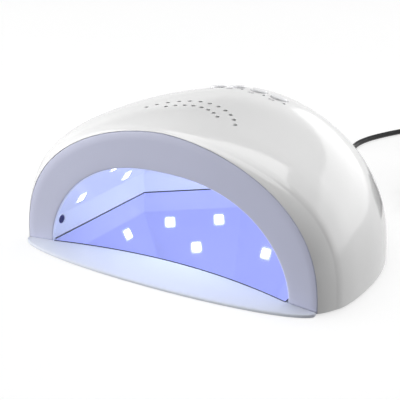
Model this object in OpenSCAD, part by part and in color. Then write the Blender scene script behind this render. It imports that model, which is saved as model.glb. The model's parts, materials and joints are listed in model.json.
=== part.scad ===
// Desktop UV curing lamp: an arched housing over a faceted LED reflector, with a slide-out base tray.
// Millimetres, +Z up, front opening towards -Y, origin on the table under the middle of the lamp.

/* [Housing] */
// Greatest width of the upper shell
shell_w = 203; // [201:0.5:205]
// Height of the shell above its bottom rim
shell_h = 85.6; // [85:0.1:86.5]
// Wall thickness of the upper shell
wall = 2.4; // [2.2:0.1:2.6]
// Depth from the bezel face to the flat pad at the rear
rear_y = 161; // [160:0.5:162]
// Gap between the shell rim and the table
foot_h = 1; // [0.8:0.1:1.2]

/* [Front opening] */
// Half width of the bezel plate
bezel_w = 92.2; // [91.8:0.1:92.2]
// Height of the bezel plate
bezel_h = 79.8; // [79.4:0.1:79.8]
// Thickness of the bezel plate
bezel_t = 2; // [1.8:0.1:2.2]
// Half width of the hand opening
open_w = 75.3; // [75.2:0.1:75.6]
// Height of the arch of the hand opening
open_h = 53.9; // [53:0.1:54]

/* [Reflector] */
// Height at which the reflector walls start to lean inwards
wall_z = 16; // [15.5:0.5:16.5]
// Height of the reflector ceiling
ceil_z = 58; // [57.8:0.1:58.2]
// Inward lean of the reflector facets per unit of height
lean = 0.6; // [0.58:0.01:0.62]
// Thickness of the reflector wall
liner_t = 1.6; // [1.4:0.1:1.8]
// Side of the square LED windows
led_win = 7; // [6.8:0.1:7.2]

/* [Base tray] */
// How far the entry sill stands out in front of the bezel
sill_out = 17.4; // [17:0.1:17.8]
// Height of the mirror plate above the rim
mirror_z = 3; // [2.9:0.1:3]
// Height of the sill at its front edge
sill_edge = 0.8; // [0.6:0.1:1]

/* [Buttons] */
// Distance of the button row behind the bezel
btn_y = 88; // [87:0.5:89]
// Spacing of the timer buttons
btn_pitch = 13; // [12.8:0.1:13.2]
// Radius of a timer button
btn_r = 4.8; // [4.6:0.1:4.8]
// Height of a button above the shell
btn_proud = 1.6; // [1.2:0.1:1.8]

/* [Vents] */
// Radius of a vent hole
vent_r = 1.25; // [1:0.05:1.4]
// Radius of the inner row of vents
vent_in = 24.5; // [24:0.1:25]
// Radius of the outer row of vents
vent_out = 32.6; // [32:0.1:33]

/* [Cord] */
// Diameter of the low-voltage lead
cord_d = 3.5; // [3.4:0.1:3.6]
// Radius of the coil at the middle of its turns
coil_r = 20; // [19.9:0.05:20]
// Length of the adapter's contact pins
pin_l = 19; // [18:0.5:19]

/* [Hidden] */
$fn = 48;

cy = (rear_y - sill_out)/2;
module place() translate([0, -cy, foot_h]) children();

// ---- body form: every section across Y is an arch |x/w|^n + (z/h)^m = 1
wm = shell_w/2;
ym = 29.3; dm = 166.8; pw = 2.44; qw = 1.097; cw = 0.00676;
yh = 30; ph = 2.65; qh = 1.857; ch = 0.00642; eh = 1.967;
function wy(y) = y < ym ? wm - cw*pow(ym-y, 2) : wm*pow(max(0, 1-pow((y-ym)/(dm-ym), pw)), 1/qw);
function hy(y) = y < yh ? shell_h - ch*pow(yh-y, eh) : shell_h*pow(max(0, 1-pow((y-yh)/(dm-yh), ph)), 1/qh);
function ft(y) = min(1, max(0, (y-20)/140));
function ny(y) = 1.841 - 0.372*ft(y);
function my(y) = 2.76 - 0.281*ft(y);
function arch(w, h, n, m, t) = [w*sign(cos(t))*pow(abs(cos(t)), 2/n), h*pow(abs(sin(t)), 2/m)];
function surf(x, y) = hy(y)*pow(max(0, 1-pow(abs(x)/wy(y), ny(y))), 1/my(y));
// inner face of the shell: the wall keeps its thickness where the form closes in towards the rear
function gi(y) = min(1, max(0, (y-90)/70));
function iw(y) = wy(y+wall*gi(y)) - wall*(1-0.5*gi(y));
function ih(y) = hy(y+wall*gi(y)) - wall*(1-0.5*gi(y));
function surf_in(x, y) = ih(y)*pow(max(0, 1-pow(abs(x)/iw(y), ny(y))), 1/my(y));
// the crease line where the shell turns in to the bezel
function crease(t) = 1.5 + 0.0154*80*pow(abs(sin(t)), 0.72) + 10.4*pow(abs(cos(t)), 2.17);
lip_n = 1.78; lip_m = 2.586; rebate = 2.3; lip_gap = 0.2;
yr = rear_y - 1.2; ri = rear_y - wall;

NT = 40;
TS = [for (j=[0:NT]) 180*j/NT];
G = [0.05, 0.12, 0.22, 0.34, 0.46, 0.57, 0.67, 0.76, 0.84, 0.9, 0.95, 1];
function row_outer(i) =
  i == 0 ? [for (t=TS) let(a=arch(bezel_w+lip_gap, bezel_h+lip_gap, lip_n, lip_m, t)) [a[0], 0, a[1]]] :
  i == 1 ? [for (t=TS) let(y=crease(t), a=arch(bezel_w+lip_gap, bezel_h+lip_gap, lip_n, lip_m, t), b=arch(wy(y), hy(y), ny(y), my(y), t)) [a[0]*0.45+b[0]*0.55, y*0.45, a[1]*0.45+b[1]*0.55]] :
  i == 2 ? [for (t=TS) let(y=crease(t), b=arch(wy(y), hy(y), ny(y), my(y), t)) [b[0], y, b[1]]] :
  i < 15 ? [for (t=TS) let(c=crease(t), y=c+(yr-c)*G[i-3], b=arch(wy(y), hy(y), ny(y), my(y), t)) [b[0], y, b[1]]] :
  let(y=rear_y-[0.4, 0, 0][i-15], k=[0.1, 1.2, 5][i-15]) [for (t=TS) let(b=arch(wy(y)-k, hy(y)-k, ny(y), my(y), t)) [b[0], y, b[1]]];
function row_inner(i) =
  i == 0 ? [for (t=TS) let(a=arch(bezel_w+lip_gap, bezel_h+lip_gap, lip_n, lip_m, t)) [a[0], rebate, a[1]]] :
  i == 1 ? [for (t=TS) let(a=arch(bezel_w+lip_gap-1.2, bezel_h+lip_gap-1.2, lip_n, lip_m, t)) [a[0], rebate, a[1]]] :
  i == 2 ? [for (t=TS) let(y=crease(t)+1, b=arch(iw(y), ih(y), ny(y), my(y), t)) [b[0], y, b[1]]] :
  i < 15 ? [for (t=TS) let(c=crease(t)+1, y=c+(ri-0.6-c)*G[i-3], b=arch(iw(y), ih(y), ny(y), my(y), t)) [b[0], y, b[1]]] :
  let(y=ri-[0.25, 0, 0][i-15], k=[0.1, 0.6, 4.5][i-15]) [for (t=TS) let(b=arch(iw(y)-k, ih(y)-k, ny(y), my(y), t)) [b[0], y, b[1]]];
KR = 18;
function oi(i, j) = i == KR ? 2*KR*(NT+1) : i*(NT+1)+j;
function ii(i, j) = i == KR ? 2*KR*(NT+1)+1 : (KR+i)*(NT+1)+j;
module shell_skin() polyhedron(
  points = concat([for (i=[0:KR-1]) each row_outer(i)], [for (i=[0:KR-1]) each row_inner(i)], [[0, rear_y, 0], [0, rear_y-wall, 0]]),
  faces = concat(
    [for (i=[0:KR-1], j=[0:NT-1]) each (i == KR-1 ? [[oi(i,j), oi(i,j+1), oi(KR,0)]] : [[oi(i,j), oi(i,j+1), oi(i+1,j+1)], [oi(i,j), oi(i+1,j+1), oi(i+1,j)]])],
    [for (i=[0:KR-1], j=[0:NT-1]) each (i == KR-1 ? [[ii(i,j), ii(KR,0), ii(i,j+1)]] : [[ii(i,j), ii(i+1,j), ii(i+1,j+1)], [ii(i,j), ii(i+1,j+1), ii(i,j+1)]])],
    [for (j=[0:NT-1]) each [[ii(0,j), ii(0,j+1), oi(0,j+1)], [ii(0,j), oi(0,j+1), oi(0,j)]]],
    [for (i=[0:KR-1]) each [[oi(i,0), oi(i+1,0), ii(i+1,0)], [oi(i,0), ii(i+1,0), ii(i,0)]]],
    [for (i=[0:KR-1]) each [[oi(i,NT), ii(i,NT), ii(i+1,NT)], [oi(i,NT), ii(i+1,NT), oi(i+1,NT)]]]),
  convexity = 8);

vents = concat([for (i=[0:7]) let(q=(i-3.5)*11.75) [vent_in*sin(q), 8.9+vent_in*cos(q)]],
               [for (i=[0:11]) let(q=(i-5.5)*10.66) [vent_out*sin(q), 8.9+vent_out*cos(q)]]);
btn_x = [-1.5*btn_pitch-0.5, -0.5*btn_pitch-0.5, 0.5*btn_pitch+0.5, 1.5*btn_pitch+0.5];
pipe_xy = [for (x=btn_x) [x+6.5, btn_y-6.5]];
bosses = [[86, 30], [62, 108], [20, 146]];
jack_z = 13; jack_r = 5.4;
module both() { children(); mirror([1, 0, 0]) children(); }
function boss_top(b) = let(a=atan2(b[1]-20, b[0]), x=b[0]+3.2*cos(a), y=b[1]+3.2*sin(a)) (surf(x, y) + surf_in(x, y))/2;

module upper_shell() color([0.93, 0.93, 0.94]) place() difference() {
  union() {
    shell_skin();
    both() for (b=bosses) translate([b[0], b[1], 2.2]) cylinder(r=3.2, h=boss_top(b)-2.2);
  }
  for (v=vents) translate([v[0], v[1], 60]) cylinder(r=vent_r, h=40, $fn=24);
  for (x=btn_x) translate([x, btn_y, 60]) cylinder(r=btn_r+0.3, h=40);
  for (v=pipe_xy) translate([v[0], v[1], 60]) cylinder(r=1, h=40, $fn=24);
  translate([0, rear_y-6, jack_z]) rotate([-90, 0, 0]) cylinder(r=jack_r+0.2, h=12);
  both() for (b=bosses) translate([b[0], b[1], 2]) cylinder(r=1.25, h=12, $fn=24);
}

// ---- bezel plate
function open_arch(t) = let(a=arch(open_w, open_h, 2.478, 1.723, t)) [a[0], a[1]+3.7];
module front_bezel() color([0.75, 0.76, 0.82]) place() translate([0, bezel_t, 0]) rotate([90, 0, 0]) linear_extrude(bezel_t)
  polygon(concat([for (j=[0:90]) arch(bezel_w, bezel_h, lip_n, lip_m, 2*j)], [[-open_w, 0]], [for (j=[60:-1:0]) open_arch(3*j)], [[open_w, 0]]));

// ---- floor plan shared by the reflector, the mirror plate and the tray
sl = (75-70.9)/87.2;
function side_x(y) = 75 - sl*(y+1.5);
sn = [-cos(atan(sl)), -sin(atan(sl))];
dn = [-0.6364, -0.7713];
bn = [0, -1];
p_side = [75, -1.5]; p_diag = [70.9, 85.7]; p_back = [0, 124.4];
function meet(p, n, q, m) = let(a=p*n, b=q*m, d=n[0]*m[1]-n[1]*m[0]) [(a*m[1]-n[1]*b)/d, (n[0]*b-a*m[0])/d];
function plan_side(o, y0) = [(p_side*sn + o - sn[1]*y0)/sn[0], y0];
function plan_v1(o) = meet(p_side+sn*o, sn, p_diag+dn*o, dn);
function plan_v2(o) = meet(p_diag+dn*o, dn, p_back+bn*o, bn);
function flip(p) = [-p[0], p[1]];
function plan(o, y0) = [plan_side(o, y0), plan_v1(o), plan_v2(o), flip(plan_v2(o)), flip(plan_v1(o)), flip(plan_side(o, y0))];
function at_z(ps, z) = [for (p=ps) [p[0], p[1], z]];

frame_t = 2.2;
k_out = liner_t*sqrt(1+lean*lean);
liner_layers = [at_z(plan(0, bezel_t), frame_t), at_z(plan(0, bezel_t), wall_z), at_z(plan(lean*(ceil_z-wall_z), bezel_t), ceil_z),
                at_z(plan(-liner_t, bezel_t), frame_t), at_z(plan(-liner_t, bezel_t), wall_z+(k_out-liner_t)/lean),
                at_z(plan(lean*(ceil_z+liner_t-wall_z)-k_out, bezel_t), ceil_z+liner_t)];
module liner_body() polyhedron(points = [for (l=liner_layers) each l],
  faces = concat(
    [for (l=[0, 1], k=[0:4]) let(a=6*l+k) [a, a+1, a+7, a+6]],
    [[12, 13, 14, 15, 16, 17]],
    [for (l=[3, 4], k=[0:4]) let(a=6*l+k) [a, a+6, a+7, a+1]],
    [[35, 34, 33, 32, 31, 30]],
    [for (k=[0:4]) [k, k+18, k+19, k+1]],
    [[0, 6, 24, 18], [6, 12, 30, 24], [12, 17, 35, 30], [17, 11, 29, 35], [11, 5, 23, 29]]),
  convexity = 6);

// LED places: [point on the inner face, turn about Z, tip] with local +X into the cavity
tip = atan(lean);
function led_at(p, n, z) = [[p[0]+n[0]*lean*(z-wall_z), p[1]+n[1]*lean*(z-wall_z), z], atan2(n[1], n[0]), tip];
function diag_at(s) = p_diag + (plan_v2(0)-p_diag)*s;
z_lo = 22; z_hi = 36;
right_side = [led_at([side_x(21.4), 21.4], sn, z_lo), led_at([side_x(63.7), 63.7], sn, z_lo), led_at([side_x(42.5), 42.5], sn, z_hi)];
right_diag = [led_at(diag_at(0.25), dn, z_lo), led_at(diag_at(0.75), dn, z_lo), led_at(diag_at(0.5), dn, z_hi)];
rear_led = [led_at([0, 124.4], bn, 37)];
top_xy = concat([for (k=[-2:2]) [19*k, 16]], [for (k=[-1.5:1:1.5]) [19*k, 38]], [for (k=[-2:2]) [19*k, 60]], [for (k=[-1:1]) [19*k, 82]]);
top_leds = [for (p=top_xy) [[p[0], p[1], ceil_z], 0, 90]];
module at_leds(list) for (l=list) translate(l[0]) rotate([0, 0, l[1]]) rotate([0, l[2], 0]) children();
module at_all_leds() { both() { at_leds(right_side) children(); at_leds(right_diag) children(); } at_leds(rear_led) children(); at_leds(top_leds) children(); }

module box(lo, hi) translate(lo) cube(hi-lo);
module reflector_liner() color([0.9, 0.91, 0.95]) place() difference() {
  union() {
    liner_body();
    both() box([side_x(62)+0.5, 57, frame_t], [82, 65, frame_t+2]);
    both() translate([34.4, 122.6, frame_t]) cylinder(r=4.6, h=2);
  }
  at_all_leds() box([-6, -led_win/2, -led_win/2], [2, led_win/2, led_win/2]);
  both() translate([side_x(8)-0.5, 8, 12.5]) rotate([0, -90, 180]) cylinder(r=2.6, h=6, $fn=32);
  both() translate([79, 61, frame_t-1]) cylinder(r=1.1, h=5, $fn=24);
  both() translate([35, 124, frame_t-1]) cylinder(r=1.1, h=5, $fn=24);
}

// ---- LED boards, chips and lenses (local +X faces the cavity, board top at -1.9)
module board(l, w, h) at_leds([l]) box([-3.5, -w/2, -h/2], [-1.9, w/2, h/2]);
mid_side = led_at([side_x(42.5), 42.5], sn, 30);
mid_diag = led_at(diag_at(0.5), dn, 30);
module led_board_right() color([0.86, 0.87, 0.86]) place() board(mid_side, 66, 30);
module led_board_left() color([0.86, 0.87, 0.86]) place() mirror([1, 0, 0]) board(mid_side, 66, 30);
module led_board_rear_right() color([0.86, 0.87, 0.86]) place() board(mid_diag, 40, 30);
module led_board_rear_left() color([0.86, 0.87, 0.86]) place() mirror([1, 0, 0]) board(mid_diag, 40, 30);
module led_board_rear() color([0.86, 0.87, 0.86]) place() board(led_at([0, 124.4], bn, 37), 20, 16);
module led_board_top() color([0.86, 0.87, 0.86]) place() difference() {
  box([-44, 8, ceil_z+1.9], [44, 90, ceil_z+3.5]);
  for (s=spacers) translate([s[0], s[1], ceil_z]) cylinder(r=1.05, h=6, $fn=24);
}
module led_chips() color([0.95, 0.9, 0.6]) place() at_all_leds() box([-1.9, -1.75, -1.75], [-1, 1.75, 1.75]);
module led_lenses() color([0.9, 0.93, 1]) place() at_all_leds() difference() {
  box([-1.9, -led_win/2+0.15, -led_win/2+0.15], [0.3, led_win/2-0.15, led_win/2-0.15]);
  box([-2, -1.8, -1.8], [-0.95, 1.8, 1.8]);
}
module ir_part(x) place() translate([x*(side_x(8)+0.1), 8, 12.5]) rotate([0, x*90, 0]) { cylinder(r=2.5, h=4.5, $fn=32); translate([0, 0, 4.5]) cylinder(r=3, h=1.5, $fn=32); }
module ir_emitter() color([0.1, 0.08, 0.16]) ir_part(-1);
module ir_receiver() color([0.1, 0.08, 0.16]) ir_part(1);

// ---- control electronics above the reflector
pcb_z = 63.2; pcb_t = 1.6; pcb_top = pcb_z+pcb_t;
spacers = [[-27, 76], [27, 76], [-27, 89], [27, 89]];
module control_board() color([0.05, 0.35, 0.2]) place() difference() {
  box([-30, 73, pcb_z], [30, 99, pcb_top]);
  for (s=spacers) translate([s[0], s[1], pcb_z-1]) cylinder(r=1.05, h=4, $fn=24);
}
module board_spacers() color([0.9, 0.9, 0.88]) place() for (s=spacers) translate([s[0], s[1], ceil_z+3.5]) difference() {
  cylinder(r=2.2, h=pcb_z-ceil_z-3.5, $fn=32);
  translate([0, 0, -1]) cylinder(r=1.05, h=5, $fn=24);
}
module board_screws() color("silver") place() for (s=spacers) translate([s[0], s[1], ceil_z+2.2]) {
  cylinder(r=1, h=pcb_top-ceil_z-2.2, $fn=24);
  translate([0, 0, pcb_top-ceil_z-2.2]) cylinder(r=1.8, h=0.9, $fn=24);
}
module control_chip() color([0.1, 0.1, 0.1]) place() { box([-5, 75, pcb_top], [5, 79, pcb_top+1.5]); for (k=[-3.5:1:3.5], s=[-1, 1]) translate([k-0.2, 77+s*2.5-0.6, pcb_top]) cube([0.4, 1.2, 0.5]); }
module power_inductor() color([0.25, 0.25, 0.27]) place() translate([-16, 77.5, pcb_top]) { cylinder(r=3.4, h=3.2); }
module smoothing_capacitors() color([0.2, 0.2, 0.5]) place() for (x=[14, 20.5]) translate([x, 76.5, pcb_top]) cylinder(r=2.5, h=4.5);
module switch_bodies() color([0.15, 0.15, 0.15]) place() for (x=btn_x) difference() {
  box([x-3, btn_y-3, pcb_top], [x+3, btn_y+3, pcb_top+3.5]);
  translate([x, btn_y, pcb_top+0.2]) cylinder(r=1.85, h=6);
}
module switch_plunger(k) color([0.9, 0.9, 0.88]) place() translate([btn_x[k], btn_y, pcb_top+1.2]) cylinder(r=1.75, h=4.3);
module switch_plunger_1() switch_plunger(0);
module switch_plunger_2() switch_plunger(1);
module switch_plunger_3() switch_plunger(2);
module switch_plunger_4() switch_plunger(3);
module indicator_light_pipes() color([0.25, 0.27, 0.3]) place() for (v=pipe_xy) translate([v[0], v[1], pcb_top]) cylinder(r=0.9, h=surf(v[0], v[1])-pcb_top+0.1, $fn=24);

// ---- timer buttons
function btn_flange(k) = (k == 0 || k == 3) ? pcb_top+5.5 : pcb_top+8.3;
module timer_button(k) color([0.95, 0.95, 0.96]) place() {
  x = btn_x[k]; z = surf(x, btn_y); zf = btn_flange(k);
  sx = (surf(x+1, btn_y)-surf(x-1, btn_y))/2; sy = (surf(x, btn_y+1)-surf(x, btn_y-1))/2;
  intersection() {
    translate([x, btn_y, zf]) cylinder(r=btn_r, h=30);
    translate([x, btn_y, z]) rotate([atan(sy), 0, 0]) rotate([0, -atan(sx), 0]) translate([-12, -12, -24]) cube([24, 24, 24+btn_proud]);
  }
  translate([x, btn_y, zf]) cylinder(r=btn_r+1.2, h=1);
  if (zf > pcb_top+6) translate([x, btn_y, pcb_top+5.5]) cylinder(r=2.2, h=zf-pcb_top-5.5);
}
module timer_button_1() timer_button(0);
module timer_button_2() timer_button(1);
module timer_button_3() timer_button(2);
module timer_button_4() timer_button(3);

// ---- bottom frame, feet, screws, magnets
feet = [[84.5, 16], [46, 122]];
side_pts = [for (k=[0:13]) let(y=13.5+k*(ri-0.5-13.5)/13) [iw(y)-0.3, y]];
frame_outline = concat([[90.6, 2.4]], side_pts);
tongue = 20;
module frame_2d() polygon(concat(frame_outline, [for (k=[len(frame_outline)-1:-1:0]) flip(frame_outline[k])]));
module cavity_2d(o) { polygon(plan(o, -6)); translate([-tongue-0.5, 100]) square([2*tongue+1, 36.5]); }
module bottom_frame() color([0.9, 0.9, 0.91]) place() difference() {
  union() {
    linear_extrude(0.8) difference() { frame_2d(); polygon(plan(2, -6)); }
    translate([0, 0, 0.8]) linear_extrude(frame_t-0.8) difference() { frame_2d(); cavity_2d(-0.2); }
    box([-tongue-6, 128, frame_t], [tongue+6, 139, frame_t+2.4]);
  }
  both() for (b=bosses) translate([b[0], b[1], -1]) { cylinder(r=1.6, h=6, $fn=24); cylinder(r=3, h=2.2, $fn=32); }
  both() for (f=feet) translate([f[0], f[1], -1]) cylinder(r=5.1, h=1.5);
  both() translate([12, 132.5, frame_t-1]) cylinder(r=4.1, h=2.6, $fn=32);
  both() translate([79, 61, -1]) cylinder(r=0.85, h=5, $fn=24);
  both() translate([35, 124, -1]) cylinder(r=0.85, h=5, $fn=24);
}
module rubber_feet() color([0.12, 0.12, 0.12]) place() both() for (f=feet) translate([f[0], f[1], -foot_h]) cylinder(r=5, h=foot_h+0.5);
module case_screws() color("silver") place() both() for (b=bosses) translate([b[0], b[1], 0]) {
  difference() { cylinder(r=2.8, h=1.2, $fn=32); translate([-1.8, -0.3, -1]) cube([3.6, 0.6, 1.5]); translate([-0.3, -1.8, -1]) cube([0.6, 3.6, 1.5]); }
  translate([0, 0, 1.2]) cylinder(r=1.24, h=11, $fn=24);
}
module liner_screws() color("silver") place() both() for (p=[[79, 61], [35, 124]]) translate([p[0], p[1], 0.9]) {
  cylinder(r=0.84, h=frame_t+2-0.9, $fn=24);
  translate([0, 0, frame_t+2-0.9]) cylinder(r=1.9, h=1.1, $fn=24);
}
module frame_magnets() color([0.6, 0.6, 0.62]) place() both() translate([12, 132.5, frame_t+0.1]) cylinder(r=4, h=1.5, $fn=32);

// ---- base tray with its sill, mirror plate and magnets
function edge_y(x) = -1.1 + 11.4*(1-pow(x/open_w, 2));
function sill_y(x) = -0.4 - (sill_out-0.4)*pow(max(0, 1-pow(abs(x)/92.4, 2.036)), 0.491);
sill_x = [for (k=[0:48]) 91.6*cos(180*k/48)];
NS = 8;
function sill_back(x) = abs(x) > 74.6 ? -0.3 : edge_y(x);
function sill_top(x) = abs(x) > 74.6 ? mirror_z-(mirror_z-sill_edge-0.2)*(abs(x)-74.6)/17 : mirror_z;
function sill_pt(x, s) = let(a=sill_y(x), b=sill_back(x)) [x, a+(b-a)*s, sill_edge+(sill_top(x)-sill_edge)*sin(90*s)];
sill_pts = concat([for (x=sill_x) each concat([for (i=[0:NS]) sill_pt(x, i/NS)], [[x, sill_back(x), -0.5], [x, sill_y(x), -0.5]])]);
NC = NS+3;
module sill_body() polyhedron(points = sill_pts,
  faces = concat(
    [for (k=[0:47], i=[0:NC-1]) let(a=k*NC+i, b=k*NC+(i+1)%NC) each [[a, a+NC, b+NC], [a, b+NC, b]]],
    [[for (i=[0:NC-1]) i]], [[for (i=[NC-1:-1:0]) 48*NC+i]]), convexity = 4);
tray_front = [for (k=[0:20]) let(x=74.4-7.44*k) [x, edge_y(x)-2.5]];
module tray_2d() { polygon(concat(tray_front, [for (p=[flip(plan_v1(0.3)), flip(plan_v2(0.3)), plan_v2(0.3), plan_v1(0.3)]) p])); translate([-tongue, 110]) square([2*tongue, 26]); }
module base_tray() color([0.9, 0.92, 0.96]) place() difference() {
  union() { sill_body(); translate([0, 0, 1]) linear_extrude(mirror_z-2) tray_2d(); }
  both() translate([12, 132.5, 1.3]) cylinder(r=4.1, h=4, $fn=32);
}
module mirror_plate() color([0.7, 0.72, 0.76]) place() translate([0, 0, mirror_z-1]) linear_extrude(1)
  polygon(concat([for (k=[0:20]) let(x=74.2-7.42*k) [x, edge_y(x)+0.05]], [flip(plan_v1(0.4)), flip(plan_v2(0.4)), plan_v2(0.4), plan_v1(0.4)]));
module tray_magnets() color([0.6, 0.6, 0.62]) place() both() translate([12, 132.5, 1.35]) cylinder(r=4, h=0.6, $fn=32);

// ---- power inlet and inner wiring
module dc_jack() color([0.08, 0.08, 0.08]) place() difference() {
  union() {
    box([-5.5, rear_y-wall-13, jack_z-5.5], [5.5, rear_y-wall-0.05, jack_z+5.5]);
    translate([0, rear_y-6, jack_z]) rotate([-90, 0, 0]) cylinder(r=jack_r, h=6);
  }
  translate([0, rear_y-11.5, jack_z]) rotate([-90, 0, 0]) cylinder(r=2.8, h=14);
  translate([0, rear_y-13.5, jack_z]) rotate([-90, 0, 0]) cylinder(r=1, h=14, $fn=32);
}
module jack_centre_pin() color([0.85, 0.75, 0.4]) place() translate([0, rear_y-13.4, jack_z]) rotate([-90, 0, 0]) cylinder(r=1, h=11.5, $fn=32);

function unit(v) = v/norm(v);
function bez(p, k, t) = let(n=len(p)-1, a=p[max(k-1, 0)], b=p[k], c=p[min(k+1, n)], d=p[min(k+2, n)])
  0.5*((2*b) + (c-a)*t + (2*a-5*b+4*c-d)*t*t + (3*b-a-3*c+d)*t*t*t);
function smooth(p, s) = concat([for (k=[0:len(p)-2], i=[0:s-1]) bez(p, k, i/s)], [p[len(p)-1]]);
module tube(p, r, sides=8, up=[0, 0, 1]) {
  n = len(p);
  function tan_at(i) = unit(p[min(i+1, n-1)] - p[max(i-1, 0)]);
  pts = [for (i=[0:n-1]) let(t=tan_at(i), a=unit(cross(t, up)), b=cross(a, t)) each [for (k=[0:sides-1]) let(q=360*(k+0.5)/sides) p[i]+r*cos(q)*a+r*sin(q)*b]];
  polyhedron(points = pts, faces = concat([[for (k=[0:sides-1]) k]], [[for (k=[sides-1:-1:0]) (n-1)*sides+k]],
    [for (i=[0:n-2], k=[0:sides-1]) let(a=i*sides+k, b=i*sides+(k+1)%sides) each [[a, a+sides, b+sides], [a, b+sides, b]]]), convexity = 6);
}
module power_wires() color([0.6, 0.1, 0.1]) place() for (s=[-1, 1])
  tube(smooth([[3*s, rear_y-wall-13.1, 15], [3.5*s, 139, 17], [6*s, 131, 27], [8*s, 121, 45], [8*s, 110, 60], [8*s, 101.5, 66.5], [8*s, 96, 67.5]], 2), 0.9, 8);
module board_jumper_wires() color([0.85, 0.85, 0.85]) place() both() {
  tube(smooth([[24, 98, 65.8], [31.5, 98, 65.6], [38, 96, 61.5], [43.5, 92, 54.5], [48, 88, 47]], 2), 0.8, 8, [1, 0, 0]);
  tube(smooth([[31, 82, 64.2], [42, 76, 63.8], [52, 68, 59], [59, 58, 50]], 2), 0.8, 8, [1, 0, 0]);
}

// ---- power lead: plug, cord, coil, adapter
fz = -foot_h; cr = cord_d/2; cz = fz+cr;
plug_y = rear_y+0.3;
module plug_barrel() color("silver") place() translate([0, plug_y-10, jack_z]) rotate([-90, 0, 0]) difference() {
  cylinder(r=2.75, h=13);
  translate([0, 0, -1]) cylinder(r=1.08, h=11.5, $fn=32);
}
module plug_grip() color([0.06, 0.06, 0.06]) place() translate([0, plug_y, jack_z]) rotate([-90, 0, 0]) difference() {
  rotate_extrude() polygon([[0, 0], [4.6, 0], [5, 0.6], [5, 14], [4.7, 17], [3.9, 20], [0, 20]]);
  translate([0, 0, -1]) cylinder(r=2.75, h=4);
}
module plug_strain_relief() color([0.06, 0.06, 0.06]) place() translate([0, plug_y+20, jack_z]) rotate([-90, 0, 0])
  rotate_extrude() polygon([[0, 0], [3.4, 0], [3.2, 4], [2.9, 10], [2.4, 20], [0, 20]]);
cy0 = plug_y+40;
route_a = [[0, cy0, jack_z], [0, cy0+5, 12.7], [0, cy0+10.5, 10.6], [0, cy0+17, 6.6], [-0.3, cy0+23.5, 2.9], [-0.8, cy0+30, 1], [-1.5, 238, cz], [-1.2, 243, cz], [-0.2, 248.5, cz],
  [1.4, 254, cz], [3.8, 260, cz], [6.6, 266, cz], [10, 272.5, cz], [14, 279, cz], [19, 285.3, cz], [25.8, 291, cz], [34, 294.8, cz], [44, 296.2, cz], [54.75, 295.25, cz]];
coil_c = [54.75, 270];
coil_in = coil_r-2*cord_d; coil_out = coil_r+2*cord_d;
module dc_cord() color([0.05, 0.05, 0.05]) place() tube(smooth(route_a, 2), cr, 8);
module cord_coil() color([0.05, 0.05, 0.05]) place() translate([coil_c[0], coil_c[1], fz]) difference() {
  rotate_extrude($fn=72) polygon([[coil_in, 1], [coil_in+1, 0], [coil_out-1, 0], [coil_out, 1], [coil_out, 2*cord_d-1], [coil_out-1, 2*cord_d], [coil_in+1, 2*cord_d], [coil_in, 2*cord_d-1]]);
  rotate([0, 0, 200]) box([coil_in-2, -4, -1], [coil_out+2, 4, 0.5]);
  rotate([0, 0, 90]) box([coil_out-cord_d-0.35, -0.3, -1], [coil_out+2, 15, cord_d+0.3]);
  box([coil_out-cord_d-0.1, -17, cord_d-0.05], [coil_out+2, -6, 2*cord_d+1]);
}
module cord_tie() color([0.1, 0.1, 0.1]) place() translate([coil_c[0], coil_c[1], fz]) rotate([0, 0, 200]) difference() {
  box([coil_in-1.2, -3.5, 0], [coil_out+0.7, 3.5, 2*cord_d+0.7]);
  box([coil_in-0.6, -4, 0.5], [coil_out+0.05, 4, 2*cord_d+0.05]);
}
ad_x = coil_c[0]+coil_out-cr; ad_y = 172; ad_l = 64; ad_w = 36; ad_h = 28; relief_l = 12;
tail_z = fz+3*cr;
module dc_cord_tail() color([0.05, 0.05, 0.05]) place() tube([for (k=[0:4]) [ad_x, ad_y+ad_l+relief_l+k*(coil_c[1]-ad_y-ad_l-relief_l-6)/4, tail_z]], cr, 8);
module adapter_strain_relief() color([0.06, 0.06, 0.06]) place() translate([ad_x, ad_y+ad_l, tail_z]) rotate([-90, 0, 0])
  rotate_extrude() polygon([[0, 0], [3.4, 0], [3.1, 4], [2.3, relief_l], [0, relief_l]]);
module ad_2d(o) { translate([ad_x-ad_w/2+3, fz+3]) for (x=[0, ad_w-6], z=[0, ad_h-6]) translate([x, z]) circle(r=3-o, $fn=32); translate([ad_x-ad_w/2+3, fz+o]) square([ad_w-6, ad_h-2*o]); translate([ad_x-ad_w/2+o, fz+3]) square([ad_w-2*o, ad_h-6]); }
module ad_block(y0, y1, o) translate([0, y1, 0]) rotate([90, 0, 0]) linear_extrude(y1-y0) ad_2d(o);
module adapter_case_back() color([0.08, 0.08, 0.08]) place() difference() {
  ad_block(ad_y+24.1, ad_y+ad_l, 0);
  ad_block(ad_y+20, ad_y+ad_l-2, 2);
}
module adapter_case_front() color([0.1, 0.1, 0.1]) place() difference() {
  ad_block(ad_y, ad_y+24, 0);
  ad_block(ad_y+3, ad_y+30, 2);
  for (s=[-1, 1]) translate([ad_x+9.3*s, ad_y-1, fz+ad_h/2]) rotate([-90, 0, 0]) cylinder(r=1.6, h=8, $fn=48);
  for (s=[-1, 1]) translate([ad_x+13*s, ad_y-1, fz+ad_h/2+8*s]) rotate([-90, 0, 0]) { cylinder(r=1.3, h=8, $fn=24); cylinder(r=2.4, h=2.2, $fn=24); }
}
module adapter_pins() color("silver") place() for (s=[-1, 1]) translate([ad_x+9.3*s, ad_y-pin_l, fz+ad_h/2]) rotate([-90, 0, 0]) { cylinder(r=2, h=pin_l, $fn=48); cylinder(r=1.6, h=pin_l+5, $fn=48); }
module adapter_screws() color("silver") place() for (s=[-1, 1]) translate([ad_x+13*s, ad_y+0.2, fz+ad_h/2+8*s]) rotate([-90, 0, 0]) { cylinder(r=2.3, h=1, $fn=24); cylinder(r=1.25, h=6, $fn=24); }

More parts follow.
